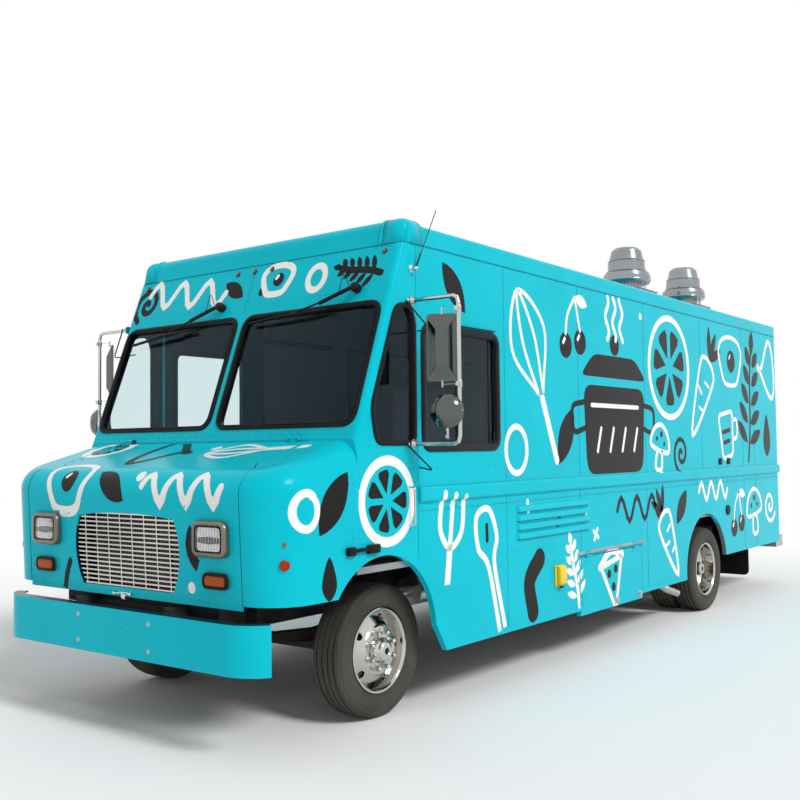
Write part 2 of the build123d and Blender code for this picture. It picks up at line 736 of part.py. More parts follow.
# bumpers
def front_bumper():
    """A channel that wraps back at its ends, with four bolt heads."""
    rise = 2 * math.atan(BUMPER_BACK / (BUMPER_HALF - BUMPER_FLAT))
    radius = (BUMPER_HALF - BUMPER_FLAT) / math.sin(rise)

    def plan(inset):
        r = radius - inset
        y = BUMPER_Y + inset
        centre = (BUMPER_FLAT, BUMPER_Y + radius)

        def at(turn, side):
            return (side * (centre[0] + r * math.sin(turn)), centre[1] - r * math.cos(turn))
        return y, at

    def band(inset, outset, z0, z1):
        y_out, out = plan(inset)
        y_in, inn = plan(outset)
        pts = [[(*out(t, s), z0) for t in (0, rise / 2, rise)] for s in (1, -1)]
        ins = [[(*inn(t, s), z0) for t in (0, rise / 2, rise)] for s in (1, -1)]
        edges = [
            Edge.make_line(pts[1][0], pts[0][0]),
            Edge.make_three_point_arc(*pts[0]),
            Edge.make_line(pts[0][2], ins[0][2]),
            Edge.make_three_point_arc(*ins[0][::-1]),
            Edge.make_line(ins[0][0], ins[1][0]),
            Edge.make_three_point_arc(*ins[1]),
            Edge.make_line(ins[1][2], pts[1][2]),
            Edge.make_three_point_arc(*pts[1][::-1]),
        ]
        return extrude(Face(Wire(edges)), amount=z1 - z0, dir=(0, 0, 1))

    bar = band(0, BUMPER_DEPTH, BUMPER_Z0, BUMPER_Z1)
    bar -= band(10, BUMPER_DEPTH + 20, BUMPER_Z0 + 10, BUMPER_Z1 - 10)
    for side in (1, -1):
        x = side * (RAIL_X0 + RAIL_X1) / 2
        bar += block(x - 35, x + 35, BUMPER_Y + 10, BUMPER_Y + BUMPER_DEPTH,
                     FRAME_Z0, BUMPER_Z1 - 10)
        for z in BOLT_Z:
            bar += rod_y(side * BOLT_X, BUMPER_Y - 8, BUMPER_Y + 2, z, 12)
        bar -= rod_y(side * PLATE_SPACING / 2, BUMPER_Y - 5, BUMPER_Y + 15, PLATE_Z, PLATE_HOLE_R)
    return bar


def rear_bumper():
    """A step bumper of channel behind the body, on two brackets."""
    y0, y1 = BODY_REAR_Y + 20, HALF_LENGTH
    half = BODY_HALF - 49
    bar = block(-half, half, y0, y1, 430, 560)
    bar -= block(-half + 10, half - 10, y0 + 10, y1 - 10, 420, 550)
    for side in (1, -1):
        x = side * (RAIL_X0 + RAIL_X1) / 2
        bar += block(x - 35, x + 35, BODY_REAR_Y - WALL, y0 + 20, REAR_SKIRT_Z - 76,
                     REAR_SKIRT_Z - GAP)
        bar += block(x - 35, x + 35, BODY_REAR_Y - 200, BODY_REAR_Y - WALL,
                     REAR_SKIRT_Z - 76, FRAME_Z0)
    return bar


# fittings
def mirror_loop(side, y):
    """The tube loop that carries the mirrors on one side."""
    x0, x1 = BODY_HALF, MIRROR_X
    z0, z1 = MIRROR_Z0, MIRROR_Z1
    loop = tube_path([(x0, y, z1), (x1 - 40, y, z1), (x1 - 10, y, z1 - 12), (x1, y, z1 - 45),
                      (x1, y, z0 + 45), (x1 - 10, y, z0 + 12), (x1 - 40, y, z0), (x0, y, z0)],
                     MIRROR_TUBE_R)
    for z in (z0, z1):
        loop += rod_x(x0, x0 + 12, y, z, 28)
    return loop if side > 0 else mirrored(loop)


def mirror_arms():
    """Both mirror loops."""
    return mirror_loop(1, MIRROR_Y_LEFT), mirror_loop(-1, MIRROR_Y_RIGHT)


MIRROR_TOP, MIRROR_FOOT = 2447, 2035
MIRROR_TURN = (24, 36)      # how far the left and the right mirrors look inwards
CONVEX_Z = 1857
CONVEX_INSET = 72           # from the tube to the round mirror's middle


def mirror_heads():
    """A flat and a round mirror on each loop."""
    heads = []
    for side, y, turn in zip((1, -1), (MIRROR_Y_LEFT, MIRROR_Y_RIGHT), MIRROR_TURN):
        x = MIRROR_X - 125
        z = (MIRROR_TOP + MIRROR_FOOT) / 2
        head = Box(190, 55, MIRROR_TOP - MIRROR_FOOT)
        head = fillet(head.edges().filter_by(Axis.Y), 24)
        head = fillet(head.faces().sort_by(Axis.Y)[0].edges(), 18)
        head = Pos(side * x, y, z) * Rot(0, 0, side * turn) * head
        clamp = block(x + 20, MIRROR_X, y - 8, y + 8, MIRROR_TOP - 60, MIRROR_TOP - 40)
        clamp += block(x + 20, MIRROR_X, y - 8, y + 8, MIRROR_FOOT + 40, MIRROR_FOOT + 60)
        if side < 0:
            clamp = mirrored(clamp)
        tube = rod_z(side * MIRROR_X, y, 1600, 2600, MIRROR_TUBE_R)
        heads.append(head + clamp - tube)
        bowl = spun_y_bowl(-side * CONVEX_INSET, -MIRROR_TUBE_R, CONVEX_Z)
        heads.append(Pos(side * MIRROR_X, y, 0) * Rot(0, 0, side * turn) * bowl)
    return heads


def spun_y_bowl(x, y, z):
    """A round convex mirror in front of its tube, touching it at y."""
    face = face_of([(0, 0, 0), (100, 0, 0), (102, -12, 0), (70, -44, 0), (0, -58, 0)])
    bowl = revolve(face, axis=Axis.Y, revolution_arc=360)
    return Pos(x, y, z) * bowl


def roof_fans():
    """Two domed exhaust fans on square curbs."""
    fans = []
    outline = [(0, 3645), (118, 3640), (150, 3612), (172, 3520), (184, 3500), (190, 3400),
               (222, 3384), (237, 3350), (237, 3300), (226, 3276), (150, 3276), (150, 3240),
               (0, 3240)]
    for x, y in FANS:
        fan = spun_z(outline, x, y)
        curb = block(x - 225, x + 225, y - 225, y + 225, ROOF_Z, 3200)
        fan += curb + rod_z(x, y, 3190, 3245, 150)
        fans.append(fan)
    return fans


FLAP_X0, FLAP_X1 = REAR_WHEEL_X - 308, REAR_WHEEL_X + 92
FLAP_Y = REAR_AXLE_Y + 1290
FLAP_Z = 205


def mud_flaps():
    """Rubber flaps behind the rear wheels."""
    y = FLAP_Y
    flap = block(FLAP_X0, FLAP_X1, y, y + 12, FLAP_Z, FLOOR_Z - WALL)
    feet = flap.edges().filter_by(Axis.Y).group_by(Axis.Z)[0]
    flap = fillet(feet, 55)
    return flap, mirrored(flap)


# cab and kitchen
DRIVER_X = BODY_HALF - 649     # the middle of the wheel and the seat
COLUMN_LOW = (DRIVER_X, -3360, 1049)
COLUMN_TOP = (DRIVER_X, -2975, 1695)
SHAFT_R = 15


def column_line():
    """The steering column's axis as a unit vector."""
    d = [b - a for a, b in zip(COLUMN_LOW, COLUMN_TOP)]
    length = math.sqrt(sum(v * v for v in d))
    return [v / length for v in d], length


def along_column(start, length, radius):
    """A round bar on the column's axis, from a distance along it."""
    unit, _ = column_line()
    origin = [a + start * u for a, u in zip(COLUMN_LOW, unit)]
    return extrude(Plane(origin=origin, z_dir=unit) * Circle(radius), amount=length)


def cover_outline(inset):
    """The engine cover's side outline, open to the firewall."""
    front = COWL_Y + WALL
    return [(front, FLOOR_Z), (front, COVER_TOP - inset), (front + 560, COVER_TOP - 30 - inset),
            (front + 700 - inset, COVER_TOP - 150 - inset), (COVER_Y - inset, FLOOR_Z)]


def cab_interior():
    """Dashboard, engine cover and steering column."""
    front = COWL_Y + WALL
    dash = prism_x([(front, 1200), (front, 1690), (front + 60, 1700), (front + 250, 1640),
                    (front + 290, 1400), (front + 240, 1200)], -INNER + 70, INNER)
    cover = dash + prism_x(cover_outline(0), -COVER_HALF, COVER_HALF)
    cover -= prism_x(cover_outline(20), -COVER_HALF + 20, COVER_HALF - 20)
    _, length = column_line()
    column = along_column(-110, length - 20, 32)
    column -= along_column(length - 300, 200, SHAFT_R + RUN)
    inside = block(-INNER, INNER, front, -2000, FLOOR_Z, 2500)
    return (cover + column) & inside


def steering_wheel():
    """Rim, three spokes, hub and shaft on the column's axis."""
    unit, length = column_line()
    plane = Plane(origin=COLUMN_TOP, z_dir=unit, x_dir=(1, 0, 0))
    wheel = plane * Torus(222, 15)
    hub = plane * Pos(0, 0, -10) * Cylinder(42, 50)
    wheel += hub
    for degrees in (0, 180, 270):
        spoke = Rot(0, 0, degrees) * Pos(122, 0, 0) * Box(190, 34, 12)
        wheel += plane * spoke
    return wheel + along_column(length - 250, 240, SHAFT_R)


def driver_seat():
    """Pedestal, cushion, back and head rest."""
    x0, x1 = DRIVER_X - 250, DRIVER_X + 250
    seat = block(x0 + 90, x1 - 90, -2560, -2220, FLOOR_Z, 1290)
    cushion = fillet(block(x0, x1, -2660, -2160, 1290, 1410).edges(), 40)
    back = prism_x([(-2240, 1380), (-2130, 1380), (-2060, 2080), (-2160, 2080)], x0 + 10, x1 - 10)
    back = fillet(back.edges().filter_by(Axis.X), 30)
    head = fillet(block(x0 + 130, x1 - 130, -2150, -2060, 2090, 2260).edges(), 30)
    stalk = block(x0 + 235, x1 - 235, -2115, -2095, 2050, 2120)
    return seat + cushion + back + stalk + head


COUNTER_TOP = FLOOR_Z + 900
CABINET_DEPTH = 649
CABINET_END = 690           # from the cabinets' end to the back of the body


def kitchen_line():
    """Cooking cabinets on the left and the service counter on the right."""
    face, back = INNER - CABINET_DEPTH, BODY_REAR_Y - CABINET_END
    cabinets = block(face, INNER, -650, back, FLOOR_Z, COUNTER_TOP)
    for y in (-600, 260, 1120, 1980):
        cabinets -= block(face - 10, face + 40, y, y + 780, FLOOR_Z + 120, COUNTER_TOP - 140)
    cabinets -= block(face + 140, INNER - 109, back - 520, back - 100, COUNTER_TOP - 180,
                      COUNTER_TOP + 5)
    counter = block(-INNER, -INNER + 449, -1050, 2600, FLOOR_Z, 1470)
    for y in (-1000, 200, 1400):
        counter -= block(-INNER + 109, -INNER + 459, y, y + 1140, FLOOR_Z + 100, 1400)
    return cabinets, counter


def range_hood():
    """The extraction hood under the roof fans, with its two ducts."""
    y0, y1 = 700, BODY_REAR_Y - CABINET_END
    lip = INNER - 729
    hood = prism_y([(INNER, 2250), (INNER, 2700), (lip + 280, 2700), (lip, 2400), (lip, 2250)],
                   y0, y1)
    hood -= block(lip + 20, INNER - 20, y0 + 20, y1 - 20, 2240, 2380)
    for x, y in FANS:
        hood += block(x + 60, x + 300, y - 120, y + 120, 2690, ROOF_Z - WALL)
    return hood


def generator_set():
    """The generator in its side compartment, hung under the floor."""
    return block(INNER - 469, INNER - 39, -880, 160, 420, FLOOR_Z - WALL)


# steered and turning parts
def knuckle(side):
    """King pin, two ears, web and spindle on one side."""
    z = TYRE_R
    part = rod_z(KING_X, FRONT_AXLE_Y, 325, 485, PIN_R)
    for z0, z1 in ((325, 352), (458, 485)):
        part += rod_z(KING_X, FRONT_AXLE_Y, z0, z1, 38)
        part += block(KING_X, KING_X + 62, FRONT_AXLE_Y - 38, FRONT_AXLE_Y + 38, z0, z1)
    part += block(KING_X + 46, KING_X + 62, FRONT_AXLE_Y - 38, FRONT_AXLE_Y + 38, 325, 485)
    part += rod_x(KING_X + 50, FRONT_WHEEL_X + 80, FRONT_AXLE_Y, z, SPINDLE_R)
    return part if side > 0 else mirrored(part)


def tyre(x, y):
    """One road tyre round (x, y), its bead faces against the rim."""
    outline = [(-BEAD_HALF, SEAT_R), (BEAD_HALF, SEAT_R), (BEAD_HALF, 263), (99, 268),
               (108, 292), (TYRE_HALF, 330), (110, 362), (TREAD_HALF + 4, 392),
               (TREAD_HALF - 14, 401), (0, TYRE_R), (-TREAD_HALF + 14, 401),
               (-TREAD_HALF - 4, 392), (-110, 362), (-TYRE_HALF, 330), (-108, 292),
               (-99, 268), (-BEAD_HALF, 263)]
    return spun_x(outline, x, y, TYRE_R)


def rim(x, y):
    """The barrel of one rim with its two lips."""
    outline = [(-BEAD_HALF, SEAT_R), (BEAD_HALF, SEAT_R), (BEAD_HALF, LIP_R),
               (LIP_HALF, LIP_R), (LIP_HALF, 245), (88, 238), (-88, 238), (-LIP_HALF, 245),
               (-LIP_HALF, LIP_R), (-BEAD_HALF, LIP_R)]
    return spun_x(outline, x, y, TYRE_R)


def hand_holes(x0, x1, y, radius, hole):
    """The round holes through a wheel disc, as bars along X."""
    bars = []
    for k in range(HAND_HOLES):
        turn = math.radians(76 + 360 * k / HAND_HOLES)
        bars.append(rod_x(x0, x1, y + radius * math.cos(turn),
                          TYRE_R + radius * math.sin(turn), hole))
    return bars


def lug_nuts(x0, x1, y):
    """The wheel nuts as short bars along X."""
    nuts = []
    for k in range(LUGS):
        turn = math.radians(22.5 + 360 * k / LUGS)
        nuts.append(rod_x(x0, x1, y + LUG_R * math.cos(turn),
                          TYRE_R + LUG_R * math.sin(turn), 14))
    return nuts


def front_wheel(side):
    """Rim with an outward dished disc, hub and nuts."""
    x = FRONT_WHEEL_X
    part = rim(x, FRONT_AXLE_Y)
    disc = [(30, 240), (20, 240), (70, 150), (78, 140), (78, 60), (92, 60), (92, 146), (84, 156),
            (42, 240)]
    part += spun_x(disc, x, FRONT_AXLE_Y, TYRE_R)
    hub = [(-60, SPINDLE_R + RUN), (82, SPINDLE_R + RUN), (82, 0), (150, 0), (150, 40),
           (142, 62), (108, 76), (92, 78), (-60, 78)]
    part += spun_x(hub, x, FRONT_AXLE_Y, TYRE_R)
    for hole in hand_holes(x, x + 100, FRONT_AXLE_Y, 196, 24):
        part -= hole
    for nut in lug_nuts(x + 88, x + 124, FRONT_AXLE_Y):
        part += nut
    return part if side > 0 else mirrored(part)


def rear_wheels(side):
    """Both rims of a dual pair on one hub, outer disc set deep."""
    x, y = REAR_WHEEL_X, REAR_AXLE_Y
    inner = x - DUAL_SPACING
    part = rim(x, y) + rim(inner, y)
    middle = (x + inner) / 2
    outer_disc = [(middle - x, 60), (middle - x, 150), (-40, 240), (-28, 240),
                  (middle - x + 12, 150), (middle - x + 12, 60)]
    inner_disc = [(middle - inner, 60), (middle - inner, 150), (40, 240), (28, 240),
                  (middle - inner - 12, 150), (middle - inner - 12, 60)]
    part += spun_x(outer_disc, x, y, TYRE_R)
    part += spun_x(inner_disc, inner, y, TYRE_R)
    bore = REAR_SPINDLE_R + RUN
    low, tip = middle - 90 - x, REAR_WHEEL_X - 4 - x
    hub = [(low, bore), (tip, bore), (tip, 0), (62, 0), (62, 50), (52, 62), (-60, 80), (low, 80)]
    part += spun_x(hub, x, y, TYRE_R)
    for hole in hand_holes(inner - 80, x + 80, y, 196, 24):
        part -= hole
    for nut in lug_nuts(middle + 6, middle + 46, y):
        part += nut
    return part if side > 0 else mirrored(part)


# doors, lids and shelf
DOOR_WINDOW = [(-2895, 1640), (-2185, 1640), (-2185, 2398), (-2895, 2398)]


def sliding_door():
    """The entry door, which runs back inside the wall."""
    door = prism_x(entry_outline(ENTRY_LAP), DOOR_X0, DOOR_X1)
    door -= prism_x(DOOR_WINDOW, DOOR_X0 - 5, DOOR_X1 + 5, WINDOW_R)
    door += block(DOOR_X0 - 9 + 4, DOOR_X0, -2150, -2090, 1250, 1390)
    return door


def door_glass():
    """The entry door's window pane."""
    pane = prism_x(DOOR_WINDOW, DOOR_X0 - 5, DOOR_X1 + 5, WINDOW_R)
    mid = (DOOR_X0 + DOOR_X1) / 2
    return pane & block(mid - 3, mid + 3, -3000, -2000, 1600, 2500)


def rear_door(side):
    """One of the two rear doors, hinged at its outer edge."""
    y0, y1 = BODY_REAR_Y - WALL + 4, BODY_REAR_Y
    x0, x1 = GAP / 2, REAR_HALF - GAP
    door = block(x0, x1, y0, y1, REAR_Z0 + GAP, REAR_Z1 - GAP)
    hole = [(x0 + 160, 1750), (x1 - 160, 1750), (x1 - 160, 2350), (x0 + 160, 2350)]
    door -= prism_y(hole, y0 - 5, y1 + 5, 50)
    for half in rear_hinges()[1]:
        door += half
    pane = prism_y(hole, y0 + 12, y0 + 18, 50)
    return (door, pane) if side > 0 else (mirrored(door), mirrored(pane))


def serving_hatch():
    """The awning panel over the serving opening, hinged along its top."""
    x0, x1 = -BODY_HALF, -BODY_HALF + 30
    hatch = block(x0, x1, SERVE_Y0 + GAP, SERVE_Y1 - GAP, SERVE_Z0 + GAP, SERVE_Z1 - GAP)
    for half in hatch_hinges()[1]:
        hatch += half
    return hatch


SHELF_X = -BODY_HALF - 42
SHELF_Z = 1478


def serving_shelf():
    """The fold-down shelf, stored hanging against the side."""
    shelf = block(SHELF_X - 9, SHELF_X + 9, SERVE_Y0 + 60, SERVE_Y1 - 60, SHELF_Z - 360,
                  SHELF_Z)
    shelf += rod_y(SHELF_X, SERVE_Y0 + 60, SERVE_Y1 - 60, SHELF_Z, 9)
    for y in hinge_stations():
        shelf -= block(SHELF_X - 20, SHELF_X + 20, y - 6, y + 46, SHELF_Z - 26, SHELF_Z + 20)
    for y in hinge_stations():
        shelf += rod_y(SHELF_X, y - 20, y + 60, SHELF_Z, 5)
    return shelf


def hinge_stations():
    """Where the shelf's three hinge blocks stand."""
    return (SERVE_Y0 + 200, (SERVE_Y0 + SERVE_Y1) / 2, SERVE_Y1 - 240)


def shelf_hinges():
    """The hinge blocks that stand out of the kerb side wall."""
    blocks = []
    for y in hinge_stations():
        lug = block(SHELF_X - 9, -BODY_HALF, y, y + 40, SHELF_Z - 12, SHELF_Z + 12)
        blocks.append(lug - rod_y(SHELF_X, y - 5, y + 45, SHELF_Z, 5 + RUN))
    return blocks


def generator_door():
    """The flap over the generator, hinged along its top edge."""
    flap = block(BODY_HALF - 34, BODY_HALF, GEN_Y0 + 14, GEN_Y1 - 14, GEN_Z0, GEN_Z1 - 11)
    for half in flap_hinges()[1]:
        flap += half
    return flap


def main():
    """Build every subcomponent and write its file."""
    os.makedirs("parts", exist_ok=True)
    save("chassis_frame", chassis_frame())
    save("axle_beams", *axle_beams())
    save("leaf_springs", *leaf_springs())
    save("engine_block", *engine_block())
    save("exhaust_pipe", exhaust_pipe())
    save("body_floor", body_floor())
    save("floor_bearers", *floor_bearers())
    save("left_wall", left_wall())
    wall = right_wall()
    for lug in shelf_hinges():
        wall += lug
    save("right_wall", wall)
    save("right_skirt", *right_skirt())
    save("door_tracks", *door_tracks())
    save("roof", roof())
    save("rear_wall", rear_wall())
    save("cab_shell", cab_shell())
    save("fenders", fenders())
    save("cab_glass", *cab_glass())
    save("front_bumper", front_bumper())
    save("rear_bumper", rear_bumper())
    save("mirror_arms", *mirror_arms())
    save("mirror_heads", *mirror_heads())
    save("roof_fans", *roof_fans())
    save("mud_flaps", *mud_flaps())
    save("cab_interior", cab_interior())
    save("driver_seat", driver_seat())
    save("kitchen_line", *kitchen_line())
    save("range_hood", range_hood())
    save("generator_set", generator_set())
    save("hood_lid", hood_lid())
    save("grille", grille())
    save("front_lamps", *front_lamps())
    for side, name in ((1, "left"), (-1, "right")):
        save(f"knuckle_{name}", knuckle(side))
        save(f"front_tyre_{name}", tyre(side * FRONT_WHEEL_X, FRONT_AXLE_Y))
        save(f"front_wheel_{name}", front_wheel(side))
        outer = side * REAR_WHEEL_X
        inner = side * (REAR_WHEEL_X - DUAL_SPACING)
        save(f"rear_tyres_{name}", tyre(outer, REAR_AXLE_Y), tyre(inner, REAR_AXLE_Y))
        save(f"rear_wheels_{name}", rear_wheels(side))
        door, pane = rear_door(side)
        save(f"rear_door_{name}", door)
        save(f"rear_glass_{name}", pane)
    save("steering_wheel", steering_wheel())
    save("sliding_door", sliding_door())
    save("door_glass", door_glass())
    save("serving_hatch", serving_hatch())
    save("serving_shelf", serving_shelf())
    save("generator_door", generator_door())


if __name__ == "__main__":
    main()
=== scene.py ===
"""Looks of a step-van food truck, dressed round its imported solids.

Metres, +Z up, nose towards -Y, the driver's side at +X. Every new piece rides
on a body of the frame, and no solid of the frame is moved or reshaped.
"""
import json
import logging
import random
from collections.abc import Callable, Iterable, Sequence
from dataclasses import dataclass, field
from enum import Enum
from math import atan2, ceil, cos, dist, floor, hypot, pi, radians, sin, tau

import bmesh
import bpy
from mathutils import Matrix, Vector
from mathutils.bvhtree import BVHTree

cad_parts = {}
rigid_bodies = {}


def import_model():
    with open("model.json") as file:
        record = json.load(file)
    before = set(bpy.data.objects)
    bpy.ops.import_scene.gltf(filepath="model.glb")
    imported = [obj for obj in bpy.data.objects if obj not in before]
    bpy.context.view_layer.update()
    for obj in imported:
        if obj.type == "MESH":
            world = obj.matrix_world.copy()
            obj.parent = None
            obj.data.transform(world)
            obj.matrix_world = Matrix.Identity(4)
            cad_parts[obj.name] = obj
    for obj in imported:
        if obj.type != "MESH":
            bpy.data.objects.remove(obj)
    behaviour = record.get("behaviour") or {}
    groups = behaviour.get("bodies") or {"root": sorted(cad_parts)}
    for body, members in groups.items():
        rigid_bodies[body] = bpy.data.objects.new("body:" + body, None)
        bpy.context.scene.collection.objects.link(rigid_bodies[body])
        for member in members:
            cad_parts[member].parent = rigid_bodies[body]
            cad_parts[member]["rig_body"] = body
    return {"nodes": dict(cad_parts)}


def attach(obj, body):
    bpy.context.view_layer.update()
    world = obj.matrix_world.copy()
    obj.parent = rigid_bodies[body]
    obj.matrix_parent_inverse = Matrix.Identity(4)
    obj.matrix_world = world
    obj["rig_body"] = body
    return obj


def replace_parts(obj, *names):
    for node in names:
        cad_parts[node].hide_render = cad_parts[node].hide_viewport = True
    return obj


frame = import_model()
log = logging.getLogger("food_truck")

Colour = tuple[float, float, float]
Flat = tuple[float, float]
Place = Sequence[float]
Mesh = bmesh.types.BMesh
Socket = bpy.types.NodeSocket

TRUCK = "truck"
SIDES = ((1, "left"), (-1, "right"))

# main planes and lines of the body
BODY_HALF = 1.249
FRONT_AXLE_Y, REAR_AXLE_Y = -3.145, 1.832
FRONT_TRACK_HALF, REAR_TRACK_HALF, TWIN_PITCH = 0.929, 1.108, 0.258
TYRE_R = 0.4055
COWL_Y, COWL_Z, RAKE = -3.616, 1.7, 0.372
PILLAR_Y = -3.038
BODY_REAR_Y = 4.09
SEAM_Z, ROOF_Z = 2.9, 3.032
RAIL_Z0, RAIL_Z1 = 1.305, 1.402
SHIELD_FACING = Vector((0, -1, RAKE)).normalized()


def srgb(red: int, green: int, blue: int) -> Colour:
    """Turn a screen colour, 0 to 255 a channel, into linear light.

    Args:
        red, green, blue: the channels.

    Returns:
        The colour in linear light.
    """
    def linear(value: int) -> float:
        """Turn one channel into linear light."""
        share = value / 255
        return share / 12.92 if share <= 0.04045 else ((share + 0.055) / 1.055) ** 2.4
    return linear(red), linear(green), linear(blue)


class Grain(Enum):
    """How a finish's fine noise is stretched along X, Y and Z."""

    EVEN = (1.0, 1.0, 1.0)
    ALONG_Y = (1.0, 0.02, 1.0)
    ROUND_Z = (0.03, 0.03, 1.0)


@dataclass
class Net:
    """A material's node tree while it is being wired."""

    tree: bpy.types.NodeTree

    def add(self, kind: str, **settings: object) -> bpy.types.Node:
        """Add a node of a kind and set its own properties.

        Args:
            kind: the node's type.
            settings: its own properties by name.

        Returns:
            The node.
        """
        node = self.tree.nodes.new(kind)
        for name, value in settings.items():
            setattr(node, name, value)
        return node

    def link(self, source: Socket, target: Socket) -> None:
        """Join two sockets."""
        self.tree.links.new(source, target)

    def noise(self, where: Socket, scale: float, detail: float = 3.0) -> Socket:
        """Add a noise read at a place.

        Args:
            where: the coordinate socket.
            scale: features per metre.
            detail: layers of finer noise.

        Returns:
            The noise's value socket.
        """
        node = self.add("ShaderNodeTexNoise")
        node.inputs["Scale"].default_value = scale
        node.inputs["Detail"].default_value = detail
        self.link(where, node.inputs["Vector"])
        return node.outputs["Fac"]

    def ranged(self, value: Socket, low: float, high: float, start: float = 0.3,
               end: float = 0.7) -> Socket:
        """Map a value from start..end to low..high, clamped.

        Args:
            value: the socket to map.
            low, high: the range it is mapped to.
            start, end: the range it is mapped from.

        Returns:
            The result's socket.
        """
        node = self.add("ShaderNodeMapRange")
        for name, number in (("From Min", start), ("From Max", end), ("To Min", low), ("To Max", high)):
            node.inputs[name].default_value = number
        self.link(value, node.inputs["Value"])
        return node.outputs["Result"]

    def mixed(self, share: Socket, first: Colour | Socket, second: Colour | Socket) -> Socket:
        """Mix two colours by a share and return the result's socket.

        Args:
            share: how much of the second, 0 to 1.
            first, second: a colour or a colour's socket.

        Returns:
            The result's socket.
        """
        node = self.add("ShaderNodeMix", data_type="RGBA")
        self.link(share, node.inputs[0])
        for socket, colour in ((node.inputs[6], first), (node.inputs[7], second)):
            if isinstance(colour, Socket):
                self.link(colour, socket)
            else:
                socket.default_value = (*colour, 1.0)
        return node.outputs[2]


BODY_MIDDLE = (0.0, 0.4, 1.9)
CAB_END = -1.9
BROAD_SCALE = 2.3
COAT_ROUGHNESS = 0.04
# the cab's lining, its colour darkened to paint the shade inside the cab
CAB_SHADED_LINER = srgb(12, 58, 74)
DUST = srgb(120, 112, 96)


@dataclass(frozen=True)
class Finish:
    """One surface finish; its node material is made on first use."""

    name: str
    colour: Colour
    roughness: float = 0.5
    metallic: float = 0.0
    coat: float = 0.0
    specular: float = 0.5
    ior: float = 1.45
    transmission: float = 0.0
    grain: Grain = Grain.EVEN
    scale: float = 90.0
    tint: float = 0.12
    spread: float = 0.12
    bump: float = 0.15
    depth: float = 0.0006
    dust: float = 0.0
    liner: Colour | None = None
    mirrored: Colour = (1.0, 1.0, 1.0)

    def material(self) -> bpy.types.Material:
        """Build the finish as a node material, once.

        Returns:
            The material, the same one on every later call.
        """
        made = bpy.data.materials.get(self.name)
        if made is not None:
            return made
        made = bpy.data.materials.new(self.name)
        made.use_nodes = True
        net = Net(made.node_tree)
        shader = made.node_tree.nodes["Principled BSDF"]
        for socket, value in (("Metallic", self.metallic), ("Coat Weight", self.coat),
                              ("Specular IOR Level", self.specular), ("IOR", self.ior),
                              ("Coat Roughness", COAT_ROUGHNESS),
                              ("Transmission Weight", self.transmission)):
            shader.inputs[socket].default_value = value
        shader.inputs["Specular Tint"].default_value = (*self.mirrored, 1.0)
        where = net.add("ShaderNodeTexCoord")
        stretch = net.add("ShaderNodeMapping")
        stretch.inputs["Scale"].default_value = self.grain.value
        net.link(where.outputs["Object"], stretch.inputs["Vector"])
        fine = net.noise(stretch.outputs["Vector"], self.scale)
        broad = net.noise(where.outputs["Object"], BROAD_SCALE, 2.0)
        pale = tuple(min(1.0, c * (1 + self.tint) + 0.02 * self.tint) for c in self.colour)
        deep = tuple(c * (1 - self.tint) for c in self.colour)
        colour = net.mixed(net.ranged(broad, 0.0, 1.0), deep, pale)
        if self.liner is not None:
            # inward faces: in the cab the lining is darkened with painted shade, in the kitchen it is the
            # plain lining
            lining = net.mixed(self._behind_cab(net, where), CAB_SHADED_LINER, self.liner)
            colour = net.mixed(self._facing_in(net, where), colour, lining)
        if self.dust:
            colour = net.mixed(self._dust_share(net, where, broad), colour, DUST)
        net.link(colour, shader.inputs["Base Color"])
        low, high = max(0.0, self.roughness - self.spread), self.roughness + self.spread
        net.link(net.ranged(fine, low, high), shader.inputs["Roughness"])
        if self.bump:
            bump = net.add("ShaderNodeBump")
            bump.inputs["Strength"].default_value = self.bump
            bump.inputs["Distance"].default_value = self.depth
            net.link(fine, bump.inputs["Height"])
            net.link(bump.outputs["Normal"], shader.inputs["Normal"])
        return made

    def _facing_in(self, net: Net, where: bpy.types.Node) -> Socket:
        """Give 1 where a face looks towards the middle of the body, else 0.

        Args:
            net: the material's node tree.
            where: its texture coordinates.

        Returns:
            The test's socket.
        """
        away = net.add("ShaderNodeVectorMath", operation="SUBTRACT")
        net.link(where.outputs["Object"], away.inputs[0])
        away.inputs[1].default_value = BODY_MIDDLE
        dot = net.add("ShaderNodeVectorMath", operation="DOT_PRODUCT")
        net.link(away.outputs["Vector"], dot.inputs[0])
        net.link(where.outputs["Normal"], dot.inputs[1])
        test = net.add("ShaderNodeMath", operation="LESS_THAN")
        net.link(dot.outputs["Value"], test.inputs[0])
        test.inputs[1].default_value = -0.25
        return test.outputs[0]

    def _behind_cab(self, net: Net, where: bpy.types.Node) -> Socket:
        """Give 0 in the cab, where the lining carries painted shade, and 1 in the kitchen behind it.

        Args:
            net: the material's node tree.
            where: its texture coordinates.

        Returns:
            The share's socket.
        """
        split = net.add("ShaderNodeSeparateXYZ")
        net.link(where.outputs["Object"], split.inputs[0])
        return net.ranged(split.outputs["Y"], 0.0, 1.0, CAB_END - 0.01, CAB_END + 0.01)

    def _dust_share(self, net: Net, where: bpy.types.Node, broad: Socket) -> Socket:
        """Give more dust near the ground, broken up by the broad noise.

        Args:
            net: the material's node tree.
            where: its texture coordinates.
            broad: the broad noise.

        Returns:
            The share's socket.
        """
        split = net.add("ShaderNodeSeparateXYZ")
        net.link(where.outputs["Object"], split.inputs[0])
        height = net.ranged(split.outputs["Z"], self.dust, 0.0, 0.1, 1.1)
        patchy = net.add("ShaderNodeMath", operation="MULTIPLY")
        net.link(height, patchy.inputs[0])
        net.link(net.ranged(broad, 0.2, 1.0), patchy.inputs[1])
        return patchy.outputs[0]


TURQUOISE = srgb(0, 190, 207)
LINER = srgb(128, 131, 132)

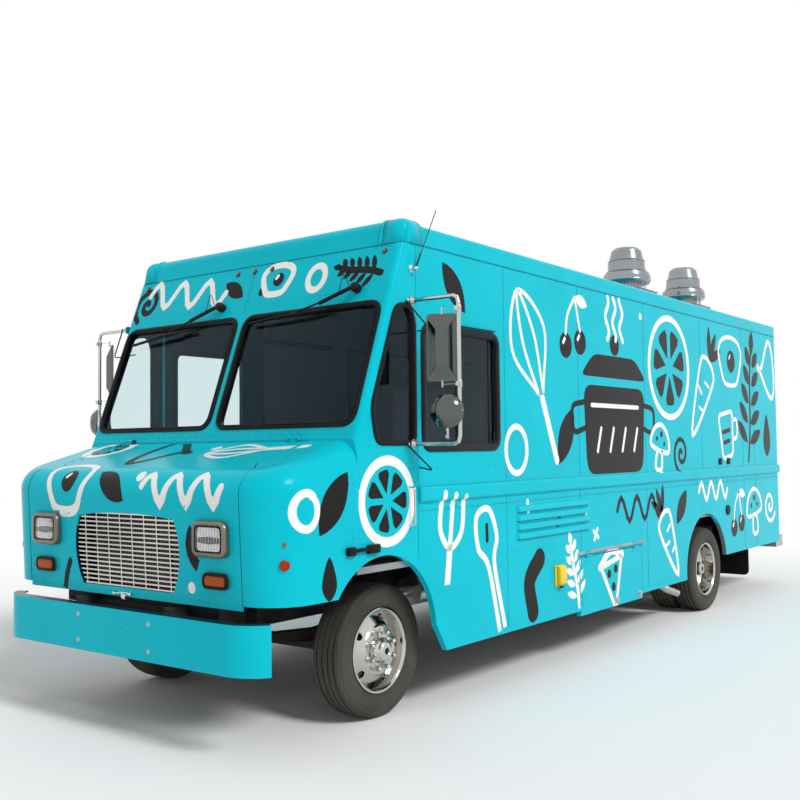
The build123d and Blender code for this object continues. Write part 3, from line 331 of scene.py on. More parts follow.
PAINT = Finish("turquoise_paint", TURQUOISE, 0.2, specular=0.09, scale=160, tint=0.035, spread=0.05,
               bump=0.05, depth=0.0004, dust=0.03, liner=LINER)
TRIM_PAINT = Finish("turquoise_trim", TURQUOISE, 0.22, specular=0.12, scale=160, tint=0.03, spread=0.05,
                    bump=0.05)
SEAM_SHADE = Finish("seam_shadow", srgb(0, 105, 122), 0.6, bump=0.05)
WHITE_VINYL = Finish("white_vinyl", srgb(240, 240, 236), 0.32, specular=0.3, tint=0.02, spread=0.05,
                     bump=0.03, scale=120)
BLACK_VINYL = Finish("black_vinyl", srgb(24, 22, 21), 0.3, specular=0.15, tint=0.1, spread=0.06,
                     bump=0.03, scale=120)
GLASS = Finish("tinted_glass", (0.8, 0.89, 0.9), 0.02, ior=1.21, transmission=1.0, tint=0.01,
               mirrored=(0.05, 0.6, 0.9), spread=0.01, bump=0.0)
LENS = Finish("clear_lens", (0.95, 0.96, 0.96), 0.05, transmission=1.0, tint=0.01, spread=0.02, bump=0.35,
              scale=160, depth=0.002)
AMBER = Finish("amber_lens", srgb(176, 78, 2), 0.18, specular=0.18, tint=0.18, bump=0.3, scale=130)
RED_LENS = Finish("red_lens", srgb(146, 42, 14), 0.18, specular=0.2, tint=0.15, bump=0.3, scale=130)
RUBBER = Finish("gasket_rubber", srgb(20, 21, 22), 0.42, specular=0.14, scale=240, tint=0.25, bump=0.25)
TYRE = Finish("tyre_rubber", srgb(56, 55, 52), 0.72, specular=0.3, scale=420, tint=0.16, bump=0.4,
              depth=0.0008, dust=0.35)
BLACK_METAL = Finish("black_metal", srgb(22, 23, 25), 0.36, specular=0.18, scale=150, tint=0.2, bump=0.2)
BLACK_PLASTIC = Finish("black_plastic", srgb(28, 29, 30), 0.5, specular=0.2, scale=380, tint=0.15,
                       bump=0.4)
FRAME_PAINT = Finish("chassis_black", srgb(24, 25, 26), 0.55, specular=0.25, scale=60, tint=0.35,
                     bump=0.4, dust=0.25)
ENGINE = Finish("engine_cast", srgb(104, 106, 108), 0.6, metallic=0.4, scale=110, tint=0.3, bump=0.6,
                dust=0.2)
CHROME = Finish("chrome", (0.58, 0.58, 0.57), 0.09, metallic=1.0, scale=70, tint=0.06, spread=0.05,
                bump=0.05)
MIRROR_BACK = Finish("mirror_back", (0.13, 0.14, 0.13), 0.1, metallic=1.0, scale=60, tint=0.1,
                     spread=0.05, bump=0.05)
POLISHED = Finish("polished_alloy", (0.56, 0.54, 0.5), 0.13, metallic=1.0, scale=45, tint=0.14,
                  spread=0.07, bump=0.1)
STAINLESS = Finish("brushed_stainless", (0.5, 0.5, 0.49), 0.32, metallic=1.0, grain=Grain.ALONG_Y,
                   scale=220, tint=0.08, bump=0.22)
SPUN = Finish("spun_fan_metal", (0.3, 0.33, 0.34), 0.2, metallic=1.0, grain=Grain.ROUND_Z, scale=260,
              tint=0.1, spread=0.1, bump=0.3)
ZINC = Finish("zinc_coat", (0.5, 0.52, 0.53), 0.45, metallic=0.9, scale=35, tint=0.2, spread=0.16,
              bump=0.1, dust=0.2)
CHEQUER = Finish("floor_plate", (0.34, 0.35, 0.36), 0.42, metallic=0.8, scale=70, tint=0.2, bump=0.5)
BEZEL = Finish("bezel_grey", srgb(128, 122, 112), 0.3, metallic=0.8, scale=120, tint=0.15, bump=0.15)
YELLOW = Finish("inlet_yellow", srgb(244, 205, 40), 0.4, coat=0.2, tint=0.06, scale=200, bump=0.2)
SEAT_CLOTH = Finish("seat_cloth", srgb(58, 60, 64), 0.9, scale=900, tint=0.25, bump=0.8, depth=0.0008)
CAB_TRIM = Finish("cab_trim", srgb(24, 62, 76), 0.62, specular=0.3, scale=340, tint=0.12, bump=0.5)

# each finish with the frame's nodes that wear it
DRESSED: tuple[tuple[Finish, str], ...] = (
    (FRAME_PAINT, "chassis_frame axle_beams leaf_springs floor_bearers door_tracks knuckle_left "
                  "knuckle_right"),
    (ENGINE, "engine_block generator_set"),
    (STAINLESS, "exhaust_pipe kitchen_line range_hood serving_shelf"),
    (CHEQUER, "body_floor"),
    (PAINT, "left_wall right_wall right_skirt roof rear_wall cab_shell fenders hood_lid "
            "front_bumper rear_door_left rear_door_right sliding_door serving_hatch "
            "generator_door"),
    (GLASS, "cab_glass door_glass rear_glass_left rear_glass_right"),
    (ZINC, "rear_bumper"),
    (CHROME, "mirror_arms mirror_heads"),
    (SPUN, "roof_fans"),
    (RUBBER, "mud_flaps"),
    (CAB_TRIM, "cab_interior"),
    (POLISHED, "grille front_wheel_left front_wheel_right rear_wheels_left rear_wheels_right"),
    (BEZEL, "front_lamps"),
    (BLACK_PLASTIC, "steering_wheel"),
    (SEAT_CLOTH, "driver_seat"),
)


def dress_nodes() -> None:
    """Give every solid of the frame its finish."""
    for finish, names in DRESSED:
        for name in names.split():
            node = frame["nodes"][name]
            node.data.materials.clear()
            node.data.materials.append(finish.material())


def toward(direction: Place) -> Matrix:
    """A turn that points +Z along a direction."""
    return Vector(direction).to_track_quat("Z", "Y").to_matrix().to_4x4()


def plane(origin: Place, right: Place, up: Place) -> Matrix:
    """A place whose local X and Y lie along right and up, Z standing off it.

    Args:
        origin: its middle.
        right, up: the directions of X and Y.

    Returns:
        The place as a matrix.
    """
    x = Vector(right).normalized()
    z = x.cross(Vector(up)).normalized()
    y = z.cross(x)
    place = Matrix((x, y, z)).transposed().to_4x4()
    place.translation = Vector(origin)
    return place


def eased(points: Sequence[Place], radius: float, closed: bool = False, steps: int = 5) -> list[Vector]:
    """Round a path's corners.

    Args:
        points: the path's corners, flat or in space.
        radius: how far from a corner its bend starts.
        closed: True for a loop.
        steps: points in each bend.

    Returns:
        The points of the eased path.
    """
    path = [Vector(p) for p in points]
    count = len(path)
    out: list[Vector] = [] if closed else [path[0]]
    for k in range(count) if closed else range(1, count - 1):
        before, corner, after = path[k - 1], path[k], path[(k + 1) % count]
        reach = min(radius, 0.45 * (before - corner).length, 0.45 * (after - corner).length)
        start = corner + (before - corner).normalized() * reach
        end = corner + (after - corner).normalized() * reach
        for step in range(steps):
            t = step / (steps - 1)
            out.append(start * (1 - t) ** 2 + corner * 2 * t * (1 - t) + end * t * t)
    if not closed:
        out.append(path[-1])
    return out


def smooth_line(points: Sequence[Place], steps: int = 6, closed: bool = False) -> list[Vector]:
    """Run a smooth line through points, in steps between each pair.

    Args:
        points: what the line runs through.
        steps: points in each span.
        closed: True for a loop.

    Returns:
        The points of the line.
    """
    path = [Vector(p) for p in points]
    count = len(path)
    out: list[Vector] = []
    for k in range(count if closed else count - 1):
        p1, p2 = path[k], path[(k + 1) % count]
        p0 = path[k - 1] if closed or k else p1 * 2 - p2
        p3 = path[(k + 2) % count] if closed or k + 2 < count else p2 * 2 - p1
        for step in range(steps):
            t = step / steps
            out.append(((p1 * 2) + (p2 - p0) * t + (p0 * 2 - p1 * 5 + p2 * 4 - p3) * t * t
                        + (p1 * 3 - p0 - p2 * 3 + p3) * t ** 3) * 0.5)
    if not closed:
        out.append(path[-1])
    return out


def rectangle(low: Flat, high: Flat) -> list[Flat]:
    """The four corners of a rectangle between two of them."""
    return [low, (high[0], low[1]), high, (low[0], high[1])]


def outline(width: float, height: float, corner: float) -> list[Vector]:
    """A rounded upright rectangle about its middle."""
    half = (width / 2, height / 2)
    return eased(rectangle((-half[0], -half[1]), half), corner, True, 6)


def ring_section(radius: float, sides: int = 12) -> list[Flat]:
    """The points of a round section."""
    return [(radius * cos(tau * k / sides), radius * sin(tau * k / sides)) for k in range(sides)]


def bead_section(width: float, height: float, sunk: float = 0.0) -> list[Flat]:
    """A flat-backed bead's section, width across, height proud and sunk below the face.

    Args:
        width, height: its size across and off the face.
        sunk: how far its back lies below the face.

    Returns:
        The (across, up) points.
    """
    half = width / 2
    return [(-half, -sunk), (half, -sunk), (half * 0.94, height * 0.55), (half * 0.55, height),
            (-half * 0.55, height), (-half * 0.94, height * 0.55)]


@dataclass
class Piece:
    """A mesh under construction, the body it rides on and its finish."""

    name: str
    finish: Finish
    slot: str = ""
    body: str = TRUCK
    mesh: Mesh = field(default_factory=bmesh.new)

    def take(self, part: Mesh, place: Matrix | None = None) -> "Piece":
        """Add a finished part, moved to its place.

        Args:
            part: the part, freed here.
            place: where it goes.

        Returns:
            This piece.
        """
        held = bpy.data.meshes.new("part")
        part.to_mesh(held)
        part.free()
        if place is not None:
            held.transform(place)
        self.mesh.from_mesh(held)
        bpy.data.meshes.remove(held)
        return self

    def box(self, low: Place, high: Place, bevel: float = 0.0, segments: int = 2,
            place: Matrix | None = None) -> None:
        """Add a box between two corners, its edges rounded if asked.

        Args:
            low, high: two opposite corners.
            bevel, segments: the rounding of its edges.
            place: where its own axes lie.
        """
        part = bmesh.new()
        a, b = Vector(low), Vector(high)
        size = Matrix.Diagonal((*(abs(side) for side in b - a), 1.0))
        bmesh.ops.create_cube(part, size=1.0, matrix=Matrix.Translation((a + b) / 2) @ size)
        soften(part, part.edges[:], bevel, segments)
        self.take(part, place)

    def rod(self, start: Place, end: Place, radius: float, sides: int = 20, bevel: float = 0.0) -> None:
        """Add a round bar, its end rims rounded if asked.

        Args:
            start, end: the middles of its ends.
            radius: half its thickness.
            sides: its facets.
            bevel: the rounding of its rims.
        """
        part = bmesh.new()
        a, b = Vector(start), Vector(end)
        bmesh.ops.create_cone(part, cap_ends=True, segments=sides, radius1=radius, radius2=radius,
                              depth=(b - a).length)
        if bevel:
            rims = [e for e in part.edges if abs(e.verts[0].co.z - e.verts[1].co.z) < 1e-6]
            soften(part, rims, bevel, 2)
        self.take(part, Matrix.Translation((a + b) / 2) @ toward(b - a))

    def ball(self, middle: Place, radius: float, squash: Place = (1.0, 1.0, 1.0),
             turn: Matrix | None = None) -> None:
        """Add a ball or a squashed ball.

        Args:
            middle: its middle.
            radius: its size.
            squash: its scale along its own axes.
            turn: how those axes are turned.
        """
        part = bmesh.new()
        bmesh.ops.create_uvsphere(part, u_segments=20, v_segments=12, radius=radius,
                                  matrix=Matrix.Diagonal((*squash, 1.0)))
        self.take(part, Matrix.Translation(Vector(middle)) @ (turn or Matrix()))

    def lathe(self, profile: Iterable[Flat], origin: Place, axis: Place, sides: int = 48) -> None:
        """Spin a profile round an axis.

        Args:
            profile: (along the axis, radius) points.
            origin: where along is 0.
            axis: the direction of along.
            sides: steps of the full turn.
        """
        part = bmesh.new()
        verts = [part.verts.new((radius, 0.0, along)) for along, radius in profile]
        edges = [part.edges.new(pair) for pair in zip(verts, verts[1:])]
        bmesh.ops.spin(part, geom=verts + edges, cent=(0, 0, 0), axis=(0, 0, 1), dvec=(0, 0, 0),
                       angle=tau, steps=sides, use_merge=True)
        tidy(part)
        self.take(part, Matrix.Translation(Vector(origin)) @ toward(axis))

    def slab(self, edge: Sequence[Place], place: Matrix, thickness: float, bevel: float = 0.0) -> None:
        """Add a plate of some outline, thick along the place's Z.

        Args:
            edge: its corners, flat.
            place: where its own axes lie.
            thickness: along the place's Z.
            bevel: the rounding of its upper rim.
        """
        part = bmesh.new()
        verts = [part.verts.new((p[0], p[1], 0.0)) for p in edge]
        face = part.faces.new(verts)
        raised = bmesh.ops.extrude_face_region(part, geom=[face])["geom"]
        top = [g for g in raised if isinstance(g, bmesh.types.BMVert)]
        bmesh.ops.translate(part, verts=top, vec=(0, 0, thickness))
        if bevel:
            rim = [e for e in part.edges if all(v in top for v in e.verts)]
            soften(part, rim, bevel, 2)
        tidy(part)
        self.take(part, place)

    def sweep(self, path: Sequence[Place], section: Sequence[Flat], up: Place | None = None,
              closed: bool = False) -> None:
        """Draw a section along a path.

        Args:
            path: the stations in space.
            section: (across, up) points of the closed section.
            up: the direction that stays up, or None for a round section.
            closed: True for a loop.
        """
        part = bmesh.new()
        stations = stations_of([Vector(p) for p in path], up, closed)
        verts = [part.verts.new(stations[0] @ Vector((a, b, 0.0))) for a, b in section]
        edges = [part.edges.new(pair) for pair in zip(verts, verts[1:] + verts[:1])]
        if not closed:
            part.faces.new(verts)
        edges = drawn_along(part, edges, stations, closed)
        if not closed:
            bmesh.ops.contextual_create(part, geom=edges)
        tidy(part)
        self.take(part)

    def done(self, angle: float = 38.0) -> bpy.types.Object:
        """Make the object, shade it smooth up to an angle and let it ride.

        Args:
            angle: edges sharper than this, in degrees, stay sharp.

        Returns:
            The finished object.
        """
        data = bpy.data.meshes.new(self.name)
        self.mesh.to_mesh(data)
        self.mesh.free()
        for face in data.polygons:
            face.use_smooth = True
        data.set_sharp_from_angle(angle=radians(angle))
        data.materials.append(self.finish.material())
        thing = bpy.data.objects.new(self.name, data)
        bpy.context.scene.collection.objects.link(thing)
        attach(thing, self.body)
        log.info("%s: %d faces on %s", self.name, len(data.polygons), self.body)
        return thing


def soften(part: Mesh, edges: list, bevel: float, segments: int = 2) -> None:
    """Round some edges of a part.

    Args:
        part: the part.
        edges: what to round.
        bevel: how far, with 0 for nothing.
        segments: steps of the rounding.
    """
    if bevel > 0:
        bmesh.ops.bevel(part, geom=edges, offset=bevel, offset_type="OFFSET", segments=segments,
                        profile=0.5, affect="EDGES", material=-1)


def tidy(part: Mesh) -> None:
    """Merge doubles and point the faces outwards."""
    bmesh.ops.remove_doubles(part, verts=part.verts[:], dist=1e-6)
    bmesh.ops.recalc_face_normals(part, faces=part.faces[:])


def stations_of(path: list[Vector], up: Place | None, closed: bool) -> list[Matrix]:
    """The place of a section at each point of a path, mitred at its bends.

    Args:
        path: the points.
        up: the direction that stays up, or None.
        closed: True for a loop.

    Returns:
        Each section's place, Z along the path.
    """
    count = len(path)
    out: list[Matrix] = []
    side = None
    last = None
    for k, point in enumerate(path):
        ahead = path[(k + 1) % count] - point if closed or k + 1 < count else None
        behind = point - path[k - 1] if closed or k else None
        first = (behind or ahead).normalized()
        second = (ahead or behind).normalized()
        along = (first + second).normalized()
        mitre = 1.0
        if up is not None:
            side = along.cross(Vector(up)).normalized()
            mitre = 1.0 / max(0.5, first.dot(along))
        elif side is None:
            side = along.orthogonal().normalized()
        else:
            side = last.rotation_difference(along) @ side
        last = along
        raised = side.cross(along).normalized()
        place = Matrix((side * mitre, raised, along)).transposed().to_4x4()
        place.translation = point
        out.append(place)
    return out


def drawn_along(part: Mesh, edges: list, stations: list[Matrix], closed: bool) -> list:
    """Extrude edges from station to station and return the last ones.

    Args:
        part: the part.
        edges: the section at the first station.
        stations: the places to draw it through.
        closed: True to come back to the first.

    Returns:
        The edges at the end.
    """
    before = stations[0]
    for station in stations[1:] + ([stations[0]] if closed else []):
        made = bmesh.ops.extrude_edge_only(part, edges=edges)["geom"]
        moved = {g for g in made if isinstance(g, bmesh.types.BMVert)}
        edges = [g for g in made if isinstance(g, bmesh.types.BMEdge) and g.verts[0] in moved
                 and g.verts[1] in moved]
        bmesh.ops.transform(part, matrix=station @ before.inverted(), verts=list(moved))
        before = station
    return edges


@dataclass
class Hit:
    """Where a ray meets the truck: the point, the outward normal and the body."""

    point: Vector
    normal: Vector
    body: str


@dataclass
class Side:
    """One side of the truck seen square on, with the nodes that show there.

    A flat point (u, v) lies at u along one axis and v along another; rays run
    inwards along the third.
    """

    name: str
    u_axis: Vector
    v_axis: Vector
    look: Vector
    nodes: Sequence[str]
    keep: Callable[[Vector], bool]
    cuts_u: Sequence[float] = ()
    cuts_v: Sequence[float] = ()
    grid: float = 0.0

    def __post_init__(self) -> None:
        """Build the search tree of the nodes' faces."""
        shell = bmesh.new()
        self.owners: list[str] = []
        for name in self.nodes:
            node = frame["nodes"][name]
            shell.from_mesh(node.data)
            missing = len(shell.faces) - len(self.owners)
            self.owners += [node["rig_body"]] * missing
        self.tree = BVHTree.FromBMesh(shell)
        shell.free()

    def cast(self, u: float, v: float) -> Hit | None:
        """Find the outer face at a flat point, or None where there is none.

        Args:
            u, v: the flat point.

        Returns:
            Where the ray meets the body, or None.
        """
        start = self.u_axis * u + self.v_axis * v - self.look * 8.0
        point, normal, index, _ = self.tree.ray_cast(start, self.look)
        if point is None or not self.keep(point):
            return None
        if normal.dot(self.look) > 0:
            normal = -normal
        return Hit(point, normal, self.owners[index])


def side_views() -> dict[str, Side]:
    """List the truck's sides that carry vinyl and rivets.

    Returns:
        The sides by name.
    """
    x, y, z = Vector((1, 0, 0)), Vector((0, 1, 0)), Vector((0, 0, 1))
    bands = (RAIL_Z0 - 0.002, RAIL_Z0 + 0.003, RAIL_Z0 + 0.01, RAIL_Z0 + 0.022, RAIL_Z1 - 0.022,
             RAIL_Z1 - 0.01, RAIL_Z1 - 0.003, RAIL_Z1 + 0.002, ROOF_Z - 0.03, ROOF_Z - 0.018,
             ROOF_Z - 0.008)

    def shield(point: Vector) -> bool:
        """Tell whether a point is on the windshield's frame."""
        depth = point.y - (COWL_Y + RAKE * (point.z - COWL_Z))
        return -0.04 < depth < 0.1 and point.z > 1.69

    return {
        "left": Side("left", y, z, -x, ("left_wall", "cab_shell", "roof", "generator_door"),
                     lambda p: p.x > 1.205, (-0.932, -0.93, -0.9455, 0.2155, 0.2295, 0.214),
                     (*bands, 0.324, 0.7725, 0.7815)),
        "left_nose": Side("left_nose", y, z, -x, ("fenders", "cab_shell"),
                          lambda p: p.x > 0.98 and p.y < -3.06, grid=0.04),
        "right": Side("right", y, z, x, ("right_wall", "right_skirt", "cab_shell", "roof",
                                         "serving_hatch"),
                      lambda p: p.x < -1.215, (-0.7885, -0.7955, 1.5985, 1.6055),
                      (*bands, 1.4995, 1.5065, 2.5535, 2.5605)),
        "right_nose": Side("right_nose", y, z, x, ("fenders", "cab_shell"),
                           lambda p: p.x < -0.98 and p.y < -3.06, grid=0.04),
        "header": Side("header", x, z, y, ("cab_shell", "roof"), shield, grid=0.04),
        "nose": Side("nose", x, z, y, ("hood_lid", "fenders"), lambda p: p.y < -4.1, grid=0.04),
        "hood": Side("hood", x, y, -z, ("hood_lid", "fenders"), lambda p: p.z > 1.3,
                     grid=0.04),
        "brow": Side("brow", x, (y + z).normalized(), (y - z).normalized(),
                     ("hood_lid", "fenders"), lambda p: p.y < -3.9, grid=0.02),
        "back": Side("back", x, z, -y, ("rear_wall", "rear_door_left", "rear_door_right", "roof"),
                     lambda p: p.y > 4.05,
                     (-0.7605, -0.7535, -0.0035, 0.0035, 0.7535, 0.7605),
                     (0.6995, 0.7065, 2.6135, 2.6205)),
    }


class Ink(Enum):
    """The two vinyl colours: their finish and how far they stand off."""

    BLACK = (BLACK_VINYL, 0.0007)
    WHITE = (WHITE_VINYL, 0.0013)


Cover = list[tuple[Ink, BVHTree]]


@dataclass
class Vinyl:
    """Flat shapes cut from vinyl and laid on one side of the truck."""

    side: Side
    flats: dict[Ink, Mesh] = field(default_factory=dict)

    def sheet(self, ink: Ink) -> Mesh:
        """The flat mesh of one ink, started on first use."""
        if ink not in self.flats:
            self.flats[ink] = bmesh.new()
        return self.flats[ink]

    def fill(self, edge: Sequence[Place], ink: Ink) -> None:
        """Cut one closed shape.

        Args:
            edge: its corners.
            ink: its colour.
        """
        flat = self.sheet(ink)
        face = flat.faces.new([flat.verts.new((p[0], p[1], 0.0)) for p in edge])
        face.normal_update()
        if face.normal.z < 0:
            face.normal_flip()
        bmesh.ops.triangulate(flat, faces=[face])

    def stroke(self, points: Sequence[Place], width: float, ink: Ink, closed: bool = False) -> None:
        """Cut a line of some width with round ends.

        Args:
            points: what the line runs through.
            width: how wide it is.
            ink: its colour.
            closed: True for a loop.
        """
        flat = self.sheet(ink)
        path = [Vector((p[0], p[1], 0.0)) for p in points]
        half = width / 2
        stations = stations_of(path, (0, 0, 1), closed)
        if not closed:
            stations = self._capped(stations, half)
        pair = [flat.verts.new(stations[0] @ Vector((a, 0.0, 0.0))) for a in (-half, half)]
        start = len(flat.verts)
        drawn_along(flat, [flat.edges.new(pair)], stations, closed)
        if closed:
            flat.verts.ensure_lookup_table()
            bmesh.ops.remove_doubles(flat, verts=flat.verts[start - 2:], dist=1e-6)

    @staticmethod
    def _capped(stations: list[Matrix], half: float) -> list[Matrix]:
        """Add narrowing stations beyond both ends for round caps.

        Args:
            stations: the places along the line.
            half: half the line's width.

        Returns:
            The places with those of the caps.
        """
        def cap(place: Matrix, sign: int) -> list[Matrix]:
            """Narrow a line's end along a half circle.

            Args:
                place: the end station.
                sign: -1 before the line, 1 beyond it.

            Returns:
                The cap's stations, the narrowest first.
            """
            out = []
            for degrees in (72, 45, 20):
                turn = radians(degrees)
                narrow = Matrix.Diagonal((cos(turn), 1.0, 1.0, 1.0))
                slide = Matrix.Translation((0.0, 0.0, sign * half * sin(turn)))
                out.append(place @ slide @ narrow)
            return out
        return cap(stations[0], -1) + stations + cap(stations[-1], 1)[::-1]

    def cover(self) -> Cover:
        """Search trees of the flats, the upper ink first."""
        return [(ink, BVHTree.FromBMesh(self.flats[ink])) for ink in (Ink.WHITE, Ink.BLACK)
                if ink in self.flats]

    def lay(self) -> None:
        """Cut the flats at seams and bends and lay them on their bodies."""
        for ink, flat in self.flats.items():
            self._cut(flat)
            groups: dict[str, set[int]] = {}
            flat.faces.ensure_lookup_table()
            for face in flat.faces:
                middle = face.calc_center_median()
                hit = self.side.cast(middle.x, middle.y)
                if hit is not None:
                    groups.setdefault(hit.body, set()).add(face.index)
            for body, chosen in groups.items():
                self._lay_on(ink, flat.copy(), body, chosen)
            flat.free()

    def _cut(self, flat: Mesh) -> None:
        """Cut the flat along the side's lines and grid.

        Args:
            flat: the flat mesh.
        """
        spans = [[v.co[axis] for v in flat.verts] for axis in (0, 1)]
        for axis, lines in ((0, self.side.cuts_u), (1, self.side.cuts_v)):
            low, high = min(spans[axis]), max(spans[axis])
            marks = [mark for mark in lines if low < mark < high]
            if self.side.grid:
                first = floor(low / self.side.grid)
                last = ceil(high / self.side.grid)
                marks += [k * self.side.grid for k in range(first, last)]
            normal = (1, 0, 0) if axis == 0 else (0, 1, 0)
            for mark in marks:
                geometry = flat.verts[:] + flat.edges[:] + flat.faces[:]
                bmesh.ops.bisect_plane(flat, geom=geometry, dist=1e-6, plane_no=normal,
                                       plane_co=tuple(mark * n for n in normal))
        flat.faces.index_update()

    def _lay_on(self, ink: Ink, flat: Mesh, body: str, chosen: set[int]) -> None:
        """Lay the chosen faces of a flat on one body.

        Args:
            ink: the flat's colour.
            flat: the flat mesh, used up here.
            body: where it goes.
            chosen: the faces that lie there.
        """
        finish, lift = ink.value
        unused = [f for f in flat.faces if f.index not in chosen]
        bmesh.ops.delete(flat, geom=unused, context="FACES")
        lost = []
        for vert in flat.verts:
            hit = self._near(vert.co.x, vert.co.y, body)
            if hit is None:
                lost.append(vert)
            else:
                vert.co = hit.point + hit.normal * lift
        bmesh.ops.delete(flat, geom=lost, context="VERTS")
        if not flat.faces:
            flat.free()
            return
        bmesh.ops.triangulate(flat, faces=flat.faces[:])
        for face in flat.faces:
            face.normal_update()
            if face.normal.dot(self.side.look) > 0:
                face.normal_flip()
        piece = Piece(f"vinyl_{ink.name.lower()}_{self.side.name}_{body}", finish, body=body)
        piece.take(flat).done(60)

    def _near(self, u: float, v: float, body: str) -> Hit | None:
        """Cast at a point or just beside it, until the ray meets the body.

        Args:
            u, v: the flat point.
            body: the body to meet.

        Returns:
            The hit, shifted back to the point, or None.
        """
        for du, dv in ((0, 0), (0.002, 0), (-0.002, 0), (0, 0.002), (0, -0.002)):
            hit = self.side.cast(u + du, v + dv)
            if hit is not None and hit.body == body:
                shift = self.side.u_axis * -du + self.side.v_axis * -dv
                return Hit(hit.point + shift, hit.normal, body)
        return None


def circle(middle: Flat, radius: float, squash: float = 1.0, turn: float = 0.0,
           steps: int = 36) -> list[Vector]:
    """The points of a circle or a turned ellipse.

    Args:
        middle, radius: where and how large.
        squash: height over width.
        turn: its tilt in degrees.
        steps: how many points.

    Returns:
        The points in order.
    """
    tilt = Matrix.Rotation(radians(turn), 2)
    return [Vector(middle) + tilt @ Vector((radius * cos(tau * k / steps),
                                            radius * squash * sin(tau * k / steps)))
            for k in range(steps)]


@dataclass
class Doodle:
    """A kitchen doodle drawn about its own middle, about one unit across each way."""

    vinyl: Vinyl
    middle: Flat
    size: float
    turn: float = 0.0
    ink: Ink = Ink.WHITE
    line: float = 0.045

    def at(self, points: Iterable[Place]) -> list[Vector]:
        """Bring the doodle's own points to the side of the truck."""
        tilt = Matrix.Rotation(radians(self.turn), 2)
        return [Vector(self.middle) + tilt @ (Vector((p[0], p[1])) * self.size) for p in points]

    def pen(self, points: Iterable[Place], closed: bool = False, ink: Ink | None = None,
            thick: float = 1.0) -> None:
        """Draw a line through the doodle's own points.

        Args:
            points: what the line runs through.
            closed: True for a loop.
            ink: its colour, if another.
            thick: its width in lines.
        """
        self.vinyl.stroke(self.at(points), self.line * thick, ink or self.ink, closed)

    def curve(self, points: Sequence[Place], steps: int = 6, closed: bool = False,
              **how: float | Ink) -> None:
        """Draw a smooth line through some points.

        Args:
            points: what the line runs through.
            steps: points in each span.
            closed: True for a loop.
            how: what else the pen takes.
        """
        self.pen(smooth_line(points, steps, closed), closed, **how)

    def spot(self, points: Iterable[Place], ink: Ink | None = None) -> None:
        """Fill a shape of the doodle's own points."""
        self.vinyl.fill(self.at(points), ink or self.ink)

    @property
    def other(self) -> Ink:
        """The ink that the doodle isn't drawn in."""
        return Ink.BLACK if self.ink is Ink.WHITE else Ink.WHITE

    def ring(self) -> None:
        """A plain ring."""
        self.pen(circle((0, 0), 0.42, 1.15), closed=True)

    def dot(self) -> None:
        """A plain round dot."""
        self.spot(circle((0, 0), 0.5, 1.1, steps=18))

    def dash(self) -> None:
        """A short fat dash."""
        self.pen([(-0.4, 0), (0, 0.03), (0.4, 0)])

    def wave(self) -> None:
        """A wavy line."""
        points = [(-0.6 + 0.05 * k, 0.13 * sin(0.05 * k * 15.7)) for k in range(25)]
        self.pen(points)

    def curl(self) -> None:
        """A spiral."""
        points = [(0.02 * k * cos(0.42 * k), 0.02 * k * sin(0.42 * k)) for k in range(2, 26)]
        self.pen(points)

    def cross(self) -> None:
        """A plus sign."""
        self.pen([(-0.4, 0), (0.4, 0)])
        self.pen([(0, -0.4), (0, 0.4)])

    def lemon(self) -> None:
        """A slice of lemon: rind, and segments in the other ink."""
        self.pen(circle((0, 0), 0.5, steps=48), closed=True, thick=1.3)
        wedges = 7
        for k in range(wedges):
            mid = tau * k / wedges
            half = pi / wedges * 0.72
            wedge = [(0.09 * cos(mid), 0.09 * sin(mid))]
            for share in (-1.0, -0.75, -0.3, 0.3, 0.75, 1.0):
                reach = 0.385 if abs(share) < 0.9 else 0.33
                wedge.append((reach * cos(mid + half * share), reach * sin(mid + half * share)))
            self.spot(wedge, self.other)

    def leaf(self, root: Flat = (0.0, -0.5), tip: Flat = (0.0, 0.5), width: float = 0.22,
             ink: Ink | None = None) -> None:
        """A pointed leaf from its root to its tip.

        Args:
            root, tip: its two ends.
            width: half its width.
            ink: its colour, if another.
        """
        start, end = Vector(root), Vector(tip)
        across = Vector((start.y - end.y, end.x - start.x)).normalized() * width
        steps = 9
        one = [start.lerp(end, k / steps) + across * sin(pi * k / steps) ** 0.8 for k in range(steps + 1)]
        two = [start.lerp(end, k / steps) - across * sin(pi * k / steps) ** 0.8
               for k in range(steps - 1, 0, -1)]
        self.spot(one + two, ink)

    def branch(self) -> None:
        """A herb branch with leaves on both sides."""
        stem = [(0.02 * sin(6 * t), -0.5 + t) for t in (0.05 * k for k in range(20))]
        self.pen(stem)
        for k in range(5):
            height = -0.34 + 0.17 * k
            reach = 0.3 - 0.035 * k
            for sign in (1, -1):
                self.leaf((0.03 * sign, height), (reach * sign, height + 0.15), 0.055)
        self.leaf((0.0, 0.44), (0.0, 0.66), 0.06)

    def whisk(self) -> None:
        """A whisk: handle and wire loops."""
        self.pen([(0, -0.62), (0, -0.18)], thick=1.5)
        for squash in (0.46, 0.16):
            self.curve([(-0.03, -0.14), (-0.24 * squash * 2, 0.24), (0, 0.56), (0.24 * squash * 2, 0.24),
                        (0.03, -0.14)], 7, thick=0.75)

    def spoon(self) -> None:
        """A wooden spoon in outline."""
        self.curve([(0.04, -0.6), (0.045, 0.05), (0.15, 0.26), (0.1, 0.52), (-0.1, 0.52), (-0.15, 0.26),
                    (-0.045, 0.05), (-0.04, -0.6)], closed=True)
        self.pen([(0.0, 0.28), (0.03, 0.4)], ink=self.other, thick=0.8)

    def fork(self) -> None:
        """A fork with three prongs."""
        self.pen([(0, -0.6), (0, 0.12)], thick=1.35)
        self.curve([(-0.15, 0.55), (-0.15, 0.27), (0, 0.13), (0.15, 0.27), (0.15, 0.55)])
        self.pen([(0, 0.14), (0, 0.55)])

